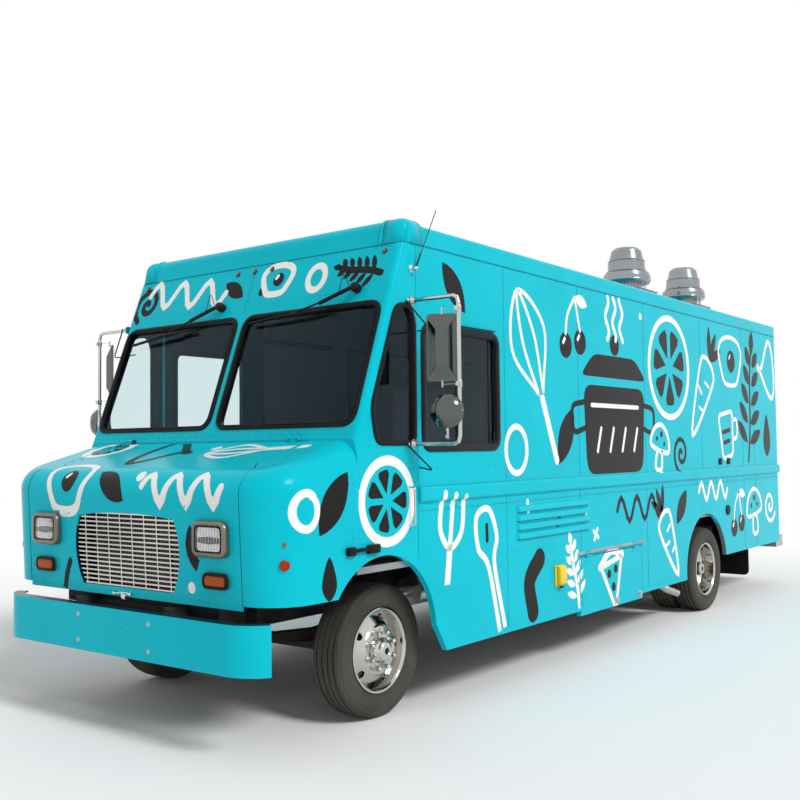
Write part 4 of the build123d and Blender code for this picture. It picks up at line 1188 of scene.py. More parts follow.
    def pot(self) -> None:
        """A filled stock pot with a lid, handles and a band."""
        body = eased([(-0.46, -0.42), (0.46, -0.42), (0.5, 0.2), (-0.5, 0.2)], 0.12, True)
        self.spot(body)
        self.spot(eased([(-0.54, 0.26), (0.54, 0.26), (0.34, 0.42), (-0.34, 0.42)], 0.08, True))
        self.spot(circle((0, 0.5), 0.075))
        for sign in (1, -1):
            self.curve([(0.48 * sign, 0.08), (0.66 * sign, 0.04), (0.64 * sign, -0.12),
                        (0.48 * sign, -0.1)], 5)
        self.pen([(-0.38, 0.06), (0.38, 0.06)], ink=self.other, thick=0.8)
        for k in range(4):
            self.pen([(-0.3 + 0.2 * k, -0.26), (-0.24 + 0.2 * k, -0.1)], ink=self.other, thick=0.8)

    def steam(self) -> None:
        """Three rising curls of steam."""
        for k, x in enumerate((-0.3, 0.0, 0.3)):
            points = [(x + 0.07 * sin(0.55 * n + k), -0.4 + 0.05 * n) for n in range(17)]
            self.pen(points)

    def mushroom(self) -> None:
        """A mushroom in outline with spots."""
        self.curve([(-0.48, 0.0), (-0.36, 0.34), (0, 0.5), (0.36, 0.34), (0.48, 0.0), (0.0, -0.07)],
                   closed=True)
        self.curve([(-0.13, -0.08), (-0.16, -0.42), (0, -0.5), (0.16, -0.42), (0.13, -0.08)])
        for middle, radius in (((-0.18, 0.16), 0.055), ((0.04, 0.3), 0.07), ((0.22, 0.12), 0.05)):
            self.spot(circle(middle, radius, steps=16), self.other)

    def carrot(self) -> None:
        """A carrot with its leaves in the other ink."""
        self.curve([(0, -0.62), (0.2, 0.12), (0.12, 0.3), (-0.12, 0.3), (-0.2, 0.12)], closed=True)
        for height, sign in ((0.08, 1), (-0.08, -1), (-0.24, 1)):
            self.pen([(0.12 * sign, height), (0.01 * sign, height - 0.02)], thick=0.75)
        for reach in (-0.22, 0.0, 0.22):
            self.leaf((0, 0.34), (reach, 0.72 - abs(reach) * 0.3), 0.055, self.other)

    def cherries(self) -> None:
        """Two cherries on their stems."""
        for x, z in ((-0.24, -0.28), (0.24, -0.2)):
            self.spot(circle((x, z), 0.2))
            self.curve([(x, z + 0.18), (x * 0.7, 0.2), (0.08, 0.5)], 5, ink=self.other, thick=0.7)
            self.pen([(x - 0.08, z + 0.04), (x - 0.03, z + 0.1)], ink=self.other, thick=0.7)
        self.leaf((0.08, 0.5), (0.5, 0.4), 0.1, self.other)

    def egg(self) -> None:
        """A fried egg: a wobbly white with a yolk."""
        edge = [(0.46 * (1 + 0.13 * sin(3 * t)) * cos(t), 0.42 * (1 + 0.13 * cos(2 * t)) * sin(t))
                for t in (tau * k / 40 for k in range(40))]
        self.pen(edge, closed=True)
        self.spot(circle((0.04, 0.0), 0.17), self.other)
        self.pen([(-0.04, 0.04), (0.0, 0.09)], thick=0.6)

    def cup(self) -> None:
        """A cup with a handle and a stripe."""
        self.pen(eased([(-0.3, 0.28), (-0.22, -0.4), (0.22, -0.4), (0.3, 0.28)], 0.1, True), True)
        self.curve([(0.29, 0.14), (0.48, 0.1), (0.44, -0.14), (0.25, -0.16)], 5)
        self.pen([(-0.16, 0.0), (0.14, 0.0)], ink=self.other)
        self.pen([(-0.13, -0.16), (0.1, -0.16)], ink=self.other)

    def pretzel(self) -> None:
        """A pretzel as one looped line."""
        shape = [(0.42 * sin(t) * (1 - 0.25 * cos(t)), 0.42 * sin(2 * t) * 0.55 + 0.34 * cos(t))
                 for t in (tau * k / 48 for k in range(48))]
        self.pen(shape, closed=True, thick=1.25)

    def pizza(self) -> None:
        """A slice of pizza with round toppings."""
        self.pen(eased([(0, -0.55), (0.4, 0.28), (-0.4, 0.28)], 0.06, True), closed=True)
        self.curve([(-0.44, 0.3), (0, 0.46), (0.44, 0.3)], thick=1.4)
        for middle in ((-0.12, 0.1), (0.14, 0.12), (0.0, -0.16)):
            self.spot(circle(middle, 0.075, steps=16), self.other)

    def drop(self) -> None:
        """A falling drop."""
        self.spot(smooth_line([(0, 0.5), (0.24, -0.1), (0.0, -0.42), (-0.24, -0.1)], 6, closed=True))

    def bean(self) -> None:
        """A fat bean, filled."""
        self.curve([(-0.3, -0.1), (0, 0.08), (0.3, -0.06)], thick=3.4)


W, K = Ink.WHITE, Ink.BLACK
Sketch = tuple[str, Flat, float, float, Ink]

# the doodles of each side: the motif, its middle, size, turn in degrees and ink
LAYOUT: dict[str, tuple[Sketch, ...]] = {
    "left": (
        ("leaf", (-2.62, 2.68), 0.4, 40, K), ("whisk", (-1.56, 2.18), 1.14, 24, W),
        ("cherries", (-0.98, 2.56), 0.5, 0, K), ("pot", (-0.24, 1.9), 1.16, 0, K),
        ("steam", (-0.24, 2.7), 0.44, 0, W), ("lemon", (0.92, 2.36), 0.92, 14, W),
        ("mushroom", (0.66, 1.62), 0.42, -12, W), ("carrot", (1.78, 2.22), 0.94, -34, W),
        ("curl", (1.16, 1.56), 0.36, 0, K), ("egg", (2.56, 2.52), 0.7, 0, W),
        ("cup", (2.4, 1.78), 0.68, 8, W), ("branch", (3.16, 2.08), 1.26, -8, K),
        ("pretzel", (3.74, 2.5), 0.66, 0, W), ("drop", (3.72, 1.72), 0.52, 0, K),
        ("fork", (-2.72, 0.9), 0.8, -8, W), ("spoon", (-2.2, 0.8), 0.8, 16, W),
        ("bean", (-1.66, 0.66), 0.64, 70, K), ("ring", (-1.86, 1.62), 0.34, 0, W),
        ("leaf", (-1.12, 1.72), 0.5, -30, K), ("branch", (-1.02, 0.66), 0.52, 14, W),
        ("pizza", (-0.36, 0.56), 0.48, 10, W), ("wave", (0.22, 1.1), 0.78, 0, K),
        ("carrot", (0.8, 0.82), 0.7, 30, W), ("leaf", (1.14, 1.06), 0.4, -40, K),
        ("wave", (1.98, 1.18), 0.66, 0, W), ("cherries", (2.68, 0.9), 0.48, 0, K),
        ("mushroom", (3.22, 0.9), 0.5, 8, W), ("curl", (3.76, 0.94), 0.4, 90, W),),
    "left_nose": (
        ("lemon", (-3.34, 1.33), 0.48, 0, W), ("leaf", (-3.82, 1.34), 0.42, -35, K),
        ("ring", (-4.04, 1.31), 0.2, 0, W), ("drop", (-3.86, 0.92), 0.26, 0, K),),
    "header": (
        ("wave", (-0.66, 2.76), 0.7, -4, W), ("curl", (-1.08, 2.72), 0.28, 0, K),
        ("egg", (0.24, 2.77), 0.28, 0, W), ("branch", (0.96, 2.75), 0.36, 78, K),
        ("dot", (0.12, 2.7), 0.06, 0, K), ("leaf", (-0.16, 2.74), 0.24, 60, K),
        ("ring", (0.6, 2.74), 0.17, 0, W),),
    "hood": (
        ("lemon", (-0.82, -3.76), 0.32, 0, W), ("pretzel", (-0.12, -3.84), 0.46, 180, K),
        ("whisk", (0.6, -3.8), 0.6, 100, W), ("dot", (0.24, -3.76), 0.07, 0, W),),
    "brow": (
        ("egg", (-0.58, -1.97), 0.42, 0, W), ("wave", (0.5, -2.0), 0.56, 0, W),
        ("leaf", (-0.14, -1.99), 0.32, 60, K), ("dot", (0.12, -1.94), 0.07, 0, W),),
    "nose": (
        ("dash", (-0.58, 0.88), 0.22, 70, K), ("leaf", (0.6, 1.1), 0.26, 10, K),
        ("dot", (0.58, 0.88), 0.06, 0, W),),
    "right": (
        ("lemon", (-1.4, 2.3), 0.8, 0, W), ("branch", (2.2, 2.08), 1.16, 10, K),
        ("pot", (0.46, 2.02), 0.84, 0, K), ("whisk", (-0.38, 2.0), 0.74, 24, W),
        ("carrot", (1.26, 2.04), 0.8, -30, W), ("egg", (3.04, 2.36), 0.72, 0, W),
        ("cup", (3.56, 1.8), 0.66, -8, W), ("fork", (-1.55, 0.86), 0.78, -20, W),
        ("pizza", (-0.6, 0.84), 0.7, 12, W), ("mushroom", (0.24, 0.8), 0.64, 0, W),
        ("curl", (0.98, 0.86), 0.52, 0, K), ("cherries", (2.74, 0.94), 0.6, 0, K),
        ("ring", (3.5, 0.98), 0.44, 0, W), ("leaf", (-1.24, 1.66), 0.46, 20, K),),
    "right_nose": (
        ("lemon", (-3.34, 1.33), 0.48, 0, W), ("leaf", (-3.86, 1.32), 0.42, 30, K),),
    "back": (
        ("lemon", (-0.4, 1.37), 0.46, 0, W), ("pot", (0.4, 1.26), 0.56, 0, K),
        ("branch", (1.0, 1.86), 0.84, 0, W), ("whisk", (-1.0, 1.86), 0.78, 0, W),
        ("wave", (0.0, 2.76), 0.9, 0, K),),
}


@dataclass
class Artwork:
    """The doodles of all sides and a scatter of small marks between them."""

    sides: dict[str, Side]
    seed: int = 11
    tries: int = 520

    def build(self) -> dict[str, Cover]:
        """Draw every doodle and lay the vinyl.

        Returns:
            What covers each side, by the side's name.
        """
        covers = {}
        for name, side in self.sides.items():
            vinyl = Vinyl(side)
            placed = []
            for motif, middle, size, turn, ink in LAYOUT[name]:
                getattr(Doodle(vinyl, middle, size, turn, ink), motif)()
                placed.append((middle, size * 0.62))
            if name in ("left", "right"):
                self._scatter(vinyl, placed)
            covers[name] = vinyl.cover()
            vinyl.lay()
        return covers

    def _scatter(self, vinyl: Vinyl, placed: list[tuple[Flat, float]]) -> None:
        """Fill the gaps between doodles with dots, dashes and crosses.

        Args:
            vinyl: where they are cut.
            placed: the middle and reach of what is there.
        """
        chance = random.Random(self.seed)
        for _ in range(self.tries):
            middle = (chance.uniform(-2.95, 3.95), chance.uniform(0.6, 2.82))
            motif, size = chance.choice((("dot", 0.045), ("dash", 0.1), ("cross", 0.12), ("dot", 0.06),
                                         ("dash", 0.13)))
            turn, ink = chance.uniform(0, 180), chance.choice((W, K))
            near_rail = RAIL_Z0 - 0.08 < middle[1] < RAIL_Z1 + 0.08
            window = -3.05 < middle[0] < -1.95 and middle[1] > 1.45
            wheel = abs(middle[0] - REAR_AXLE_Y) < 0.68 and middle[1] < 1.1
            clear = all(dist(middle, other) > reach + 0.12 for other, reach in placed)
            if clear and not (near_rail or window or wheel):
                getattr(Doodle(vinyl, middle, size, turn, ink, 0.036), motif)()
                placed.append((middle, 0.1))


@dataclass
class Rivets:
    """Rows of low rivet heads on one side, kept apart by body."""

    side: Side
    cover: Cover = field(default_factory=list)
    radius: float = 0.008
    height: float = 0.0052
    heads: dict[str, Piece] = field(default_factory=dict)

    def row(self, start: Flat, end: Flat, pitch: float) -> None:
        """Set rivets from one flat point to another.

        Args:
            start, end: the flat points.
            pitch: about how far apart.
        """
        a, b = Vector(start), Vector(end)
        count = max(1, round((b - a).length / pitch))
        for k in range(count + 1):
            spot = a.lerp(b, k / count)
            hit = self.side.cast(spot.x, spot.y)
            if hit is not None:
                self._head(hit, self._finish_at(spot))

    def _finish_at(self, spot: Vector) -> Finish:
        """The vinyl's finish where it covers a flat point, else the paint.

        Args:
            spot: the flat point.

        Returns:
            The finish.
        """
        for ink, tree in self.cover:
            if tree.ray_cast(Vector((spot.x, spot.y, 1.0)), Vector((0, 0, -1)))[0] is not None:
                return ink.value[0]
        return TRIM_PAINT

    def _head(self, hit: Hit, finish: Finish) -> None:
        """Set one rivet head on its body.

        Args:
            hit: where it sits.
            finish: the rivet's finish.
        """
        name = f"rivets_{self.side.name}_{hit.body}_{finish.name}"
        if name not in self.heads:
            self.heads[name] = Piece(name, finish, "body_paint", hit.body)
        place = Matrix.Translation(hit.point + hit.normal * self.height / 2) @ toward(hit.normal)
        bmesh.ops.create_cone(self.heads[name].mesh, cap_ends=True, segments=7, radius1=self.radius,
                              radius2=self.radius * 0.5, depth=self.height, matrix=place)

    def done(self) -> None:
        """Finish the rivets of every body."""
        for piece in self.heads.values():
            piece.done(80)


Row = tuple[Flat, Flat, float]

BODY_ROWS: tuple[Row, ...] = (
    ((-3.0, SEAM_Z + 0.014), (4.06, SEAM_Z + 0.014), 0.062),
    ((-3.0, RAIL_Z0 - 0.035), (4.06, RAIL_Z0 - 0.035), 0.062),
    *(row for y in (-2.01, -1.2, -0.9, 1.7, 2.9, 3.28)
      for row in (((y, SEAM_Z - 0.06), (y, 1.46), 0.11), ((y, RAIL_Z0 - 0.08), (y, 0.56), 0.11))),
    ((-3.0, 2.55), (-2.05, 2.55), 0.09), ((-3.0, 1.52), (-2.05, 1.52), 0.09),
    ((-1.94, 0.92), (-0.7, 0.92), 0.075), ((-2.6, 0.41), (1.2, 0.41), 0.1))
FENDER_ROWS: tuple[Row, ...] = (
    ((-3.6, 1.5), (-3.6, 0.98), 0.05), ((-3.655, 1.5), (-3.655, 0.98), 0.05),
    ((-3.56, 1.66), (-3.07, 1.66), 0.055), ((-3.07, 1.6), (-3.07, 1.05), 0.055),
    ((-4.16, 1.34), (-3.7, 1.44), 0.055))

# the rows of each side: from one flat point to another, and the pitch
RIVET_ROWS: dict[str, tuple[Row, ...]] = {
    "left": BODY_ROWS, "right": BODY_ROWS, "left_nose": FENDER_ROWS, "right_nose": FENDER_ROWS,
    "header": (*(((-1.17, z), (1.17, z), 0.062) for z in (1.735, 2.62, SEAM_Z - 0.012)),
               ((0.02, 2.6), (0.02, 2.84), 0.05)),
    "nose": (((-0.93, 0.815), (0.93, 0.815), 0.075),
             *(((x, 0.84), (x, 1.33), 0.075) for x in (-0.945, -0.545, 0.545, 0.945))),
    "brow": (((-0.93, -2.067), (0.93, -2.067), 0.075),),
    "hood": tuple(((x, -3.66), (x, -4.1), 0.06) for x in (-0.84, 0.84)),
    "back": (*(((x, 0.56), (x, 2.86), 0.08) for x in (-1.18, -0.86, 0.86, 1.18)),
             ((-1.18, 2.86), (1.18, 2.86), 0.08)),
}


def rivet_all(sides: dict[str, Side], covers: dict[str, Cover]) -> None:
    """Set the rows of rivets that hold the body's panels.

    Args:
        sides: the sides by name.
        covers: the vinyl on each.
    """
    for name, rows in RIVET_ROWS.items():
        rivets = Rivets(sides[name], covers[name])
        for start, end, pitch in rows:
            rivets.row(start, end, pitch)
        rivets.done()


@dataclass
class RoadTyre:
    """A road tyre with five ribs, made at the right size round its axle."""

    x: float
    y: float
    bead: float = 0.085
    seat: float = 0.2502
    groove: float = 0.0062
    depth: float = 0.0135
    steps: int = 132

    def crown(self, along: float) -> float:
        """The tread's radius at a distance from its middle."""
        return TYRE_R - 0.0035 * (along / 0.09) ** 2

    def profile(self) -> list[Flat]:
        """Draw the whole section from one bead to the other.

        Returns:
            Pairs of distance along the axle and radius.
        """
        half = [(self.bead, self.seat), (self.bead, 0.263), (0.0955, 0.2655), (0.1, 0.2705),
                (0.1, 0.2765), (0.104, 0.2795), (0.1085, 0.296), (0.1118, 0.316), (0.1128, 0.335),
                (0.112, 0.352), (0.109, 0.365), (0.1103, 0.368), (0.108, 0.379), (0.104, 0.38),
                (0.101, 0.3905), (0.096, 0.3965), (0.09, 0.4)]
        tread: list[Flat] = []
        for middle in (0.064, 0.0215, -0.0215, -0.064):
            wide, foot = self.groove, self.groove * 0.62
            tread += [(middle + wide, self.crown(middle)),
                      (middle + foot, self.crown(middle) - self.depth),
                      (middle - foot, self.crown(middle) - self.depth),
                      (middle - wide, self.crown(middle))]
        other = [(-a, r) for a, r in reversed(half)]
        return half + tread + other + [half[0]]

    def add_to(self, piece: Piece) -> None:
        """Spin the tyre into a piece and give its grooves their zigzag edges.

        Args:
            piece: what the tyre joins.
        """
        part = Piece("tyre", TYRE)
        part.lathe(self.profile(), (0, 0, 0), (0, 0, 1), self.steps)
        for vert in part.mesh.verts:
            radius = hypot(vert.co.x, vert.co.y)
            if radius > self.crown(0.07) - 0.002 and abs(vert.co.z) < 0.075:
                step = round(atan2(vert.co.y, vert.co.x) / tau * self.steps)
                vert.co.z += 0.0017 if step % 2 else -0.0017
        self._sipe(part)
        place = Matrix.Translation((self.x, self.y, TYRE_R)) @ toward((1, 0, 0))
        piece.take(part.mesh, place)

    def _sipe(self, part: Piece) -> None:
        """Raise the thin bars that wrap round the shoulder and the bead.

        Args:
            part: the tyre, still at the middle of the scene.
        """
        for sign in (1, -1):
            for radius, along in ((0.288, 0.1062), (0.343, 0.1122)):
                part.lathe([(sign * along, radius - 0.003), (sign * (along + 0.0012), radius),
                            (sign * along, radius + 0.003)], (0, 0, 0), (0, 0, 1), self.steps)


def build_tyres() -> None:
    """Make all six tyres and hide the plain ones."""
    for side, name in SIDES:
        front = Piece(f"front_tread_{name}", TYRE, "tyre", f"wheel_front_{name}")
        RoadTyre(side * FRONT_TRACK_HALF, FRONT_AXLE_Y).add_to(front)
        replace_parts(front.done(28), f"front_tyre_{name}")
        rear = Piece(f"rear_treads_{name}", TYRE, "tyre", f"wheels_rear_{name}")
        for x in (REAR_TRACK_HALF, REAR_TRACK_HALF - TWIN_PITCH):
            RoadTyre(side * x, REAR_AXLE_Y).add_to(rear)
        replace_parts(rear.done(28), f"rear_tyres_{name}")


@dataclass
class WheelTrim:
    """Nuts, hub cap and rim bead of one wheel."""

    side: int
    name: str
    front: bool
    nuts: int = 8
    nut_ring: float = 0.1125

    def build(self) -> None:
        """Make the trim of a front or a rear wheel."""
        if self.front:
            body, x, y, face = f"wheel_front_{self.name}", FRONT_TRACK_HALF, FRONT_AXLE_Y, 0.092
        else:
            body, x, y, face = f"wheels_rear_{self.name}", REAR_TRACK_HALF, REAR_AXLE_Y, -0.117
        out = (self.side, 0, 0)
        origin = (self.side * x, y, TYRE_R)
        label = "front" if self.front else "rear"
        trim = Piece(f"{label}_wheel_trim_{self.name}", CHROME, "wheel_polish", body)
        for k in range(self.nuts):
            turn = tau * (k + 0.5) / self.nuts
            dy, dz = self.nut_ring * cos(turn), self.nut_ring * sin(turn)
            foot = Vector((self.side * (x + face), y + dy, TYRE_R + dz))
            top = foot + Vector((self.side * 0.036, 0, 0))
            trim.rod(foot, foot + Vector((self.side * 0.006, 0, 0)), 0.021, 20, 0.001)
            trim.rod(foot, top, 0.0165, 6, 0.0015)
            trim.ball(top, 0.0125, (1, 1, 0.8), toward(out))
        trim.lathe([(0.0965, 0.2592), (0.099, 0.2575), (0.0998, 0.252), (0.0985, 0.247),
                    (0.0965, 0.2452)], origin, out, 96)
        if self.front:
            trim.lathe([(0.106, 0.076), (0.112, 0.079), (0.118, 0.076), (0.149, 0.0545), (0.152, 0.05),
                        (0.1515, 0.03), (0.1495, 0.028)], origin, out, 64)
            for k in range(5):
                turn = tau * k / 5 + 0.4
                spot = Vector((self.side * (x + 0.15), y + 0.042 * cos(turn), TYRE_R + 0.042 * sin(turn)))
                trim.rod(spot, spot + Vector((self.side * 0.004, 0, 0)), 0.0045, 6)
        trim.done()
        dark = Piece(f"{label}_hub_disc_{self.name}", BLACK_PLASTIC, "black_rubber", body)
        depth = 0.1496 if self.front else 0.063
        dark.lathe([(depth, 0.0), (depth + 0.0012, 0.0), (depth + 0.0012, 0.02), (depth, 0.0215)], origin,
                   out, 32)
        dark.done()


@dataclass
class Glazing:
    """Rubber seals and frames round the cab's windows."""

    @staticmethod
    def shield_point(x: float, z: float, lift: float = 0.0) -> Vector:
        """A point on the windshield plane, lifted off it."""
        return Vector((x, COWL_Y + RAKE * (z - COWL_Z), z)) + SHIELD_FACING * lift

    @staticmethod
    def liner_section(depth: float) -> list[Flat]:
        """The section of a rubber lining that covers a window's reveal to some depth."""
        return [(-0.003, -depth), (0.003, -depth), (0.003, 0.002), (-0.003, 0.002)]

    @staticmethod
    def _frame(piece: Piece, edge: Sequence[Vector], x: float, section: Sequence[Flat],
               side: int) -> None:
        """Run a frame round a window in the upright plane x, its face towards a side.

        Args:
            piece: what the frame joins.
            edge: the window's eased edge, as (y, z) points.
            x: the plane.
            section: the frame's section.
            side: 1 to face the driver's side, -1 to face the other.
        """
        path = [(x, p.x, p.y) for p in edge]
        piece.sweep(path if side > 0 else path[::-1], section, (side, 0, 0), True)

    def build(self) -> None:
        """Make every seal, divider and frame."""
        seals = Piece("window_seals", RUBBER, "black_rubber")
        hole = rectangle((0.038, 1.783), (1.192, 2.522))
        quarter = [(-3.44, 1.672), (-3.062, 1.67), (-3.062, 2.425), (-3.105, 2.518), (-3.246, 2.5),
                   (-3.482, 1.88)]
        for side, _ in SIDES:
            for shrink, width, height in ((0.0, 0.036, 0.01), (0.013, 0.006, 0.014)):
                loop = eased(hole, 0.085, True, 7)
                path = [self.shield_point(side * p.x, p.y, 0.0) for p in loop]
                middle = sum(path, Vector()) / len(path)
                path = [p + (middle - p).normalized() * shrink for p in path]
                seals.sweep(path[::-side], bead_section(width, height, 0.008), SHIELD_FACING, True)
            reveal = [self.shield_point(side * p.x, p.y) for p in eased(hole, 0.07, True, 6)]
            seals.sweep(reveal, self.liner_section(0.05), (0, -1, 0), True)
            x = side * BODY_HALF
            self._frame(seals, eased(quarter, 0.06, True, 6), x, bead_section(0.034, 0.01, 0.01), side)
            self._frame(seals, eased(quarter, 0.05, True, 6), x, self.liner_section(0.042), side)
        seals.done(50)
        self._driver_window()
        self._door_window()
        self._rear_windows()

    def _driver_window(self) -> None:
        """The driver's window: black frame, divider, rails and drip cap."""
        hole = rectangle((-2.969, 1.64), (-2.103, 2.398))
        pane = rectangle((-2.955, 1.654), (-2.117, 2.384))
        side = Piece("driver_window_frame", BLACK_METAL, "black_rubber")
        for edge, x, section in (
                (eased(hole, 0.075, True, 7), BODY_HALF, bead_section(0.052, 0.014)),
                (eased(hole, 0.06, True, 6), BODY_HALF, self.liner_section(0.042)),
                (eased(pane, 0.06, True, 6), 1.2365, bead_section(0.028, 0.01))):
            self._frame(side, edge, x, section, 1)
        for y in (-2.575, -2.528):
            side.box((1.2295, y - 0.014, 1.66), (1.2395, y + 0.014, 2.38), 0.002)
        for low, high, bevel in (((1.2295, -2.2, 1.655), (1.2385, -2.183, 2.385), 0.002),
                                 ((1.2295, -2.95, 1.665), (1.2405, -2.12, 1.677), 0.002),
                                 ((1.249, -2.93, 2.43), (1.268, -2.14, 2.436), 0.001),
                                 ((1.238, -2.155, 1.7), (1.247, -2.125, 1.74), 0.003)):
            side.box(low, high, bevel)
        side.done()

    def _door_window(self) -> None:
        """The seal of the entry door's pane, on both faces of the door."""
        seal = Piece("entry_door_seal", RUBBER, "black_rubber", "entry_door")
        edge = eased(rectangle((-2.895, 1.64), (-2.185, 2.398)), 0.075, True, 7)
        for x, side in ((-1.199, -1), (-1.169, 1)):
            self._frame(seal, edge, x, bead_section(0.034, 0.005), side)
        seal.done(50)

    def _rear_windows(self) -> None:
        """The seals of the two rear windows."""
        for side, name in SIDES:
            seal = Piece(f"rear_window_seal_{name}", RUBBER, "black_rubber", f"rear_door_{name}")
            path = [(side * p.x, BODY_REAR_Y, p.y)
                    for p in eased(rectangle((0.163, 1.75), (0.594, 2.35)), 0.06, True, 6)]
            seal.sweep(path[::-side], bead_section(0.032, 0.01), (0, 1, 0), True)
            seal.done(50)


@dataclass
class Wipers:
    """Two wipers hung from the header, resting along the top of the glass."""

    sets: tuple = (((-0.221, 2.61), (-1.081, 2.403), (-0.464, 2.474)),
                   ((0.986, 2.618), (0.114, 2.468), (0.792, 2.5)))

    def build(self) -> None:
        """Make arms, blades, springs and hoses."""
        arms = Piece("wipers", BLACK_METAL, "black_rubber")
        on = Glazing.shield_point
        for pivot, tip, heel in self.sets:
            root = on(*pivot, 0.0)
            head = on(*pivot, 0.048)
            arms.rod(root, head, 0.03, 24, 0.006)
            arms.ball(head, 0.027, (1, 1, 0.7), toward(head - root))
            middle = ((tip[0] + heel[0]) / 2, (tip[1] + heel[1]) / 2)
            elbow = (pivot[0] - 0.16, pivot[1] - 0.052)
            grip = on(*middle, 0.034)
            arms.sweep([head, on(*elbow, 0.048), on(elbow[0] - 0.1, elbow[1] - 0.03, 0.044)],
                       ring_section(0.013, 10))
            arms.sweep([on(elbow[0] - 0.06, elbow[1] - 0.018, 0.046), grip], ring_section(0.006, 8))
            spring = on(pivot[0] - 0.035, pivot[1] + 0.005, 0.055)
            arms.sweep(smooth_line([spring, on(pivot[0] - 0.085, pivot[1] + 0.075, 0.072),
                                    on(pivot[0] - 0.1, pivot[1] - 0.035, 0.06)], 5),
                       ring_section(0.0025, 6))
            proud = SHIELD_FACING * 0.012
            blade = [on(*tip, 0.02), on(middle[0], middle[1] + 0.004, 0.024), on(*heel, 0.02)]
            arms.sweep(smooth_line(blade, 5), bead_section(0.014, 0.012), SHIELD_FACING)
            arms.sweep([p - proud for p in smooth_line(blade, 5)], bead_section(0.005, 0.014),
                       SHIELD_FACING)
            for share in (0.15, 0.38, 0.62, 0.85):
                spot = Vector(blade[0]).lerp(blade[2], share)
                arms.box(spot - Vector((0.012, 0.01, 0.008)), spot + Vector((0.012, 0.004, 0.012)), 0.003)
            yoke = [blade[0].lerp(blade[2], 0.15) + proud, grip + SHIELD_FACING * 0.01,
                    blade[0].lerp(blade[2], 0.85) + proud]
            arms.sweep(smooth_line(yoke, 5), ring_section(0.0045, 8))
        arms.done(50)


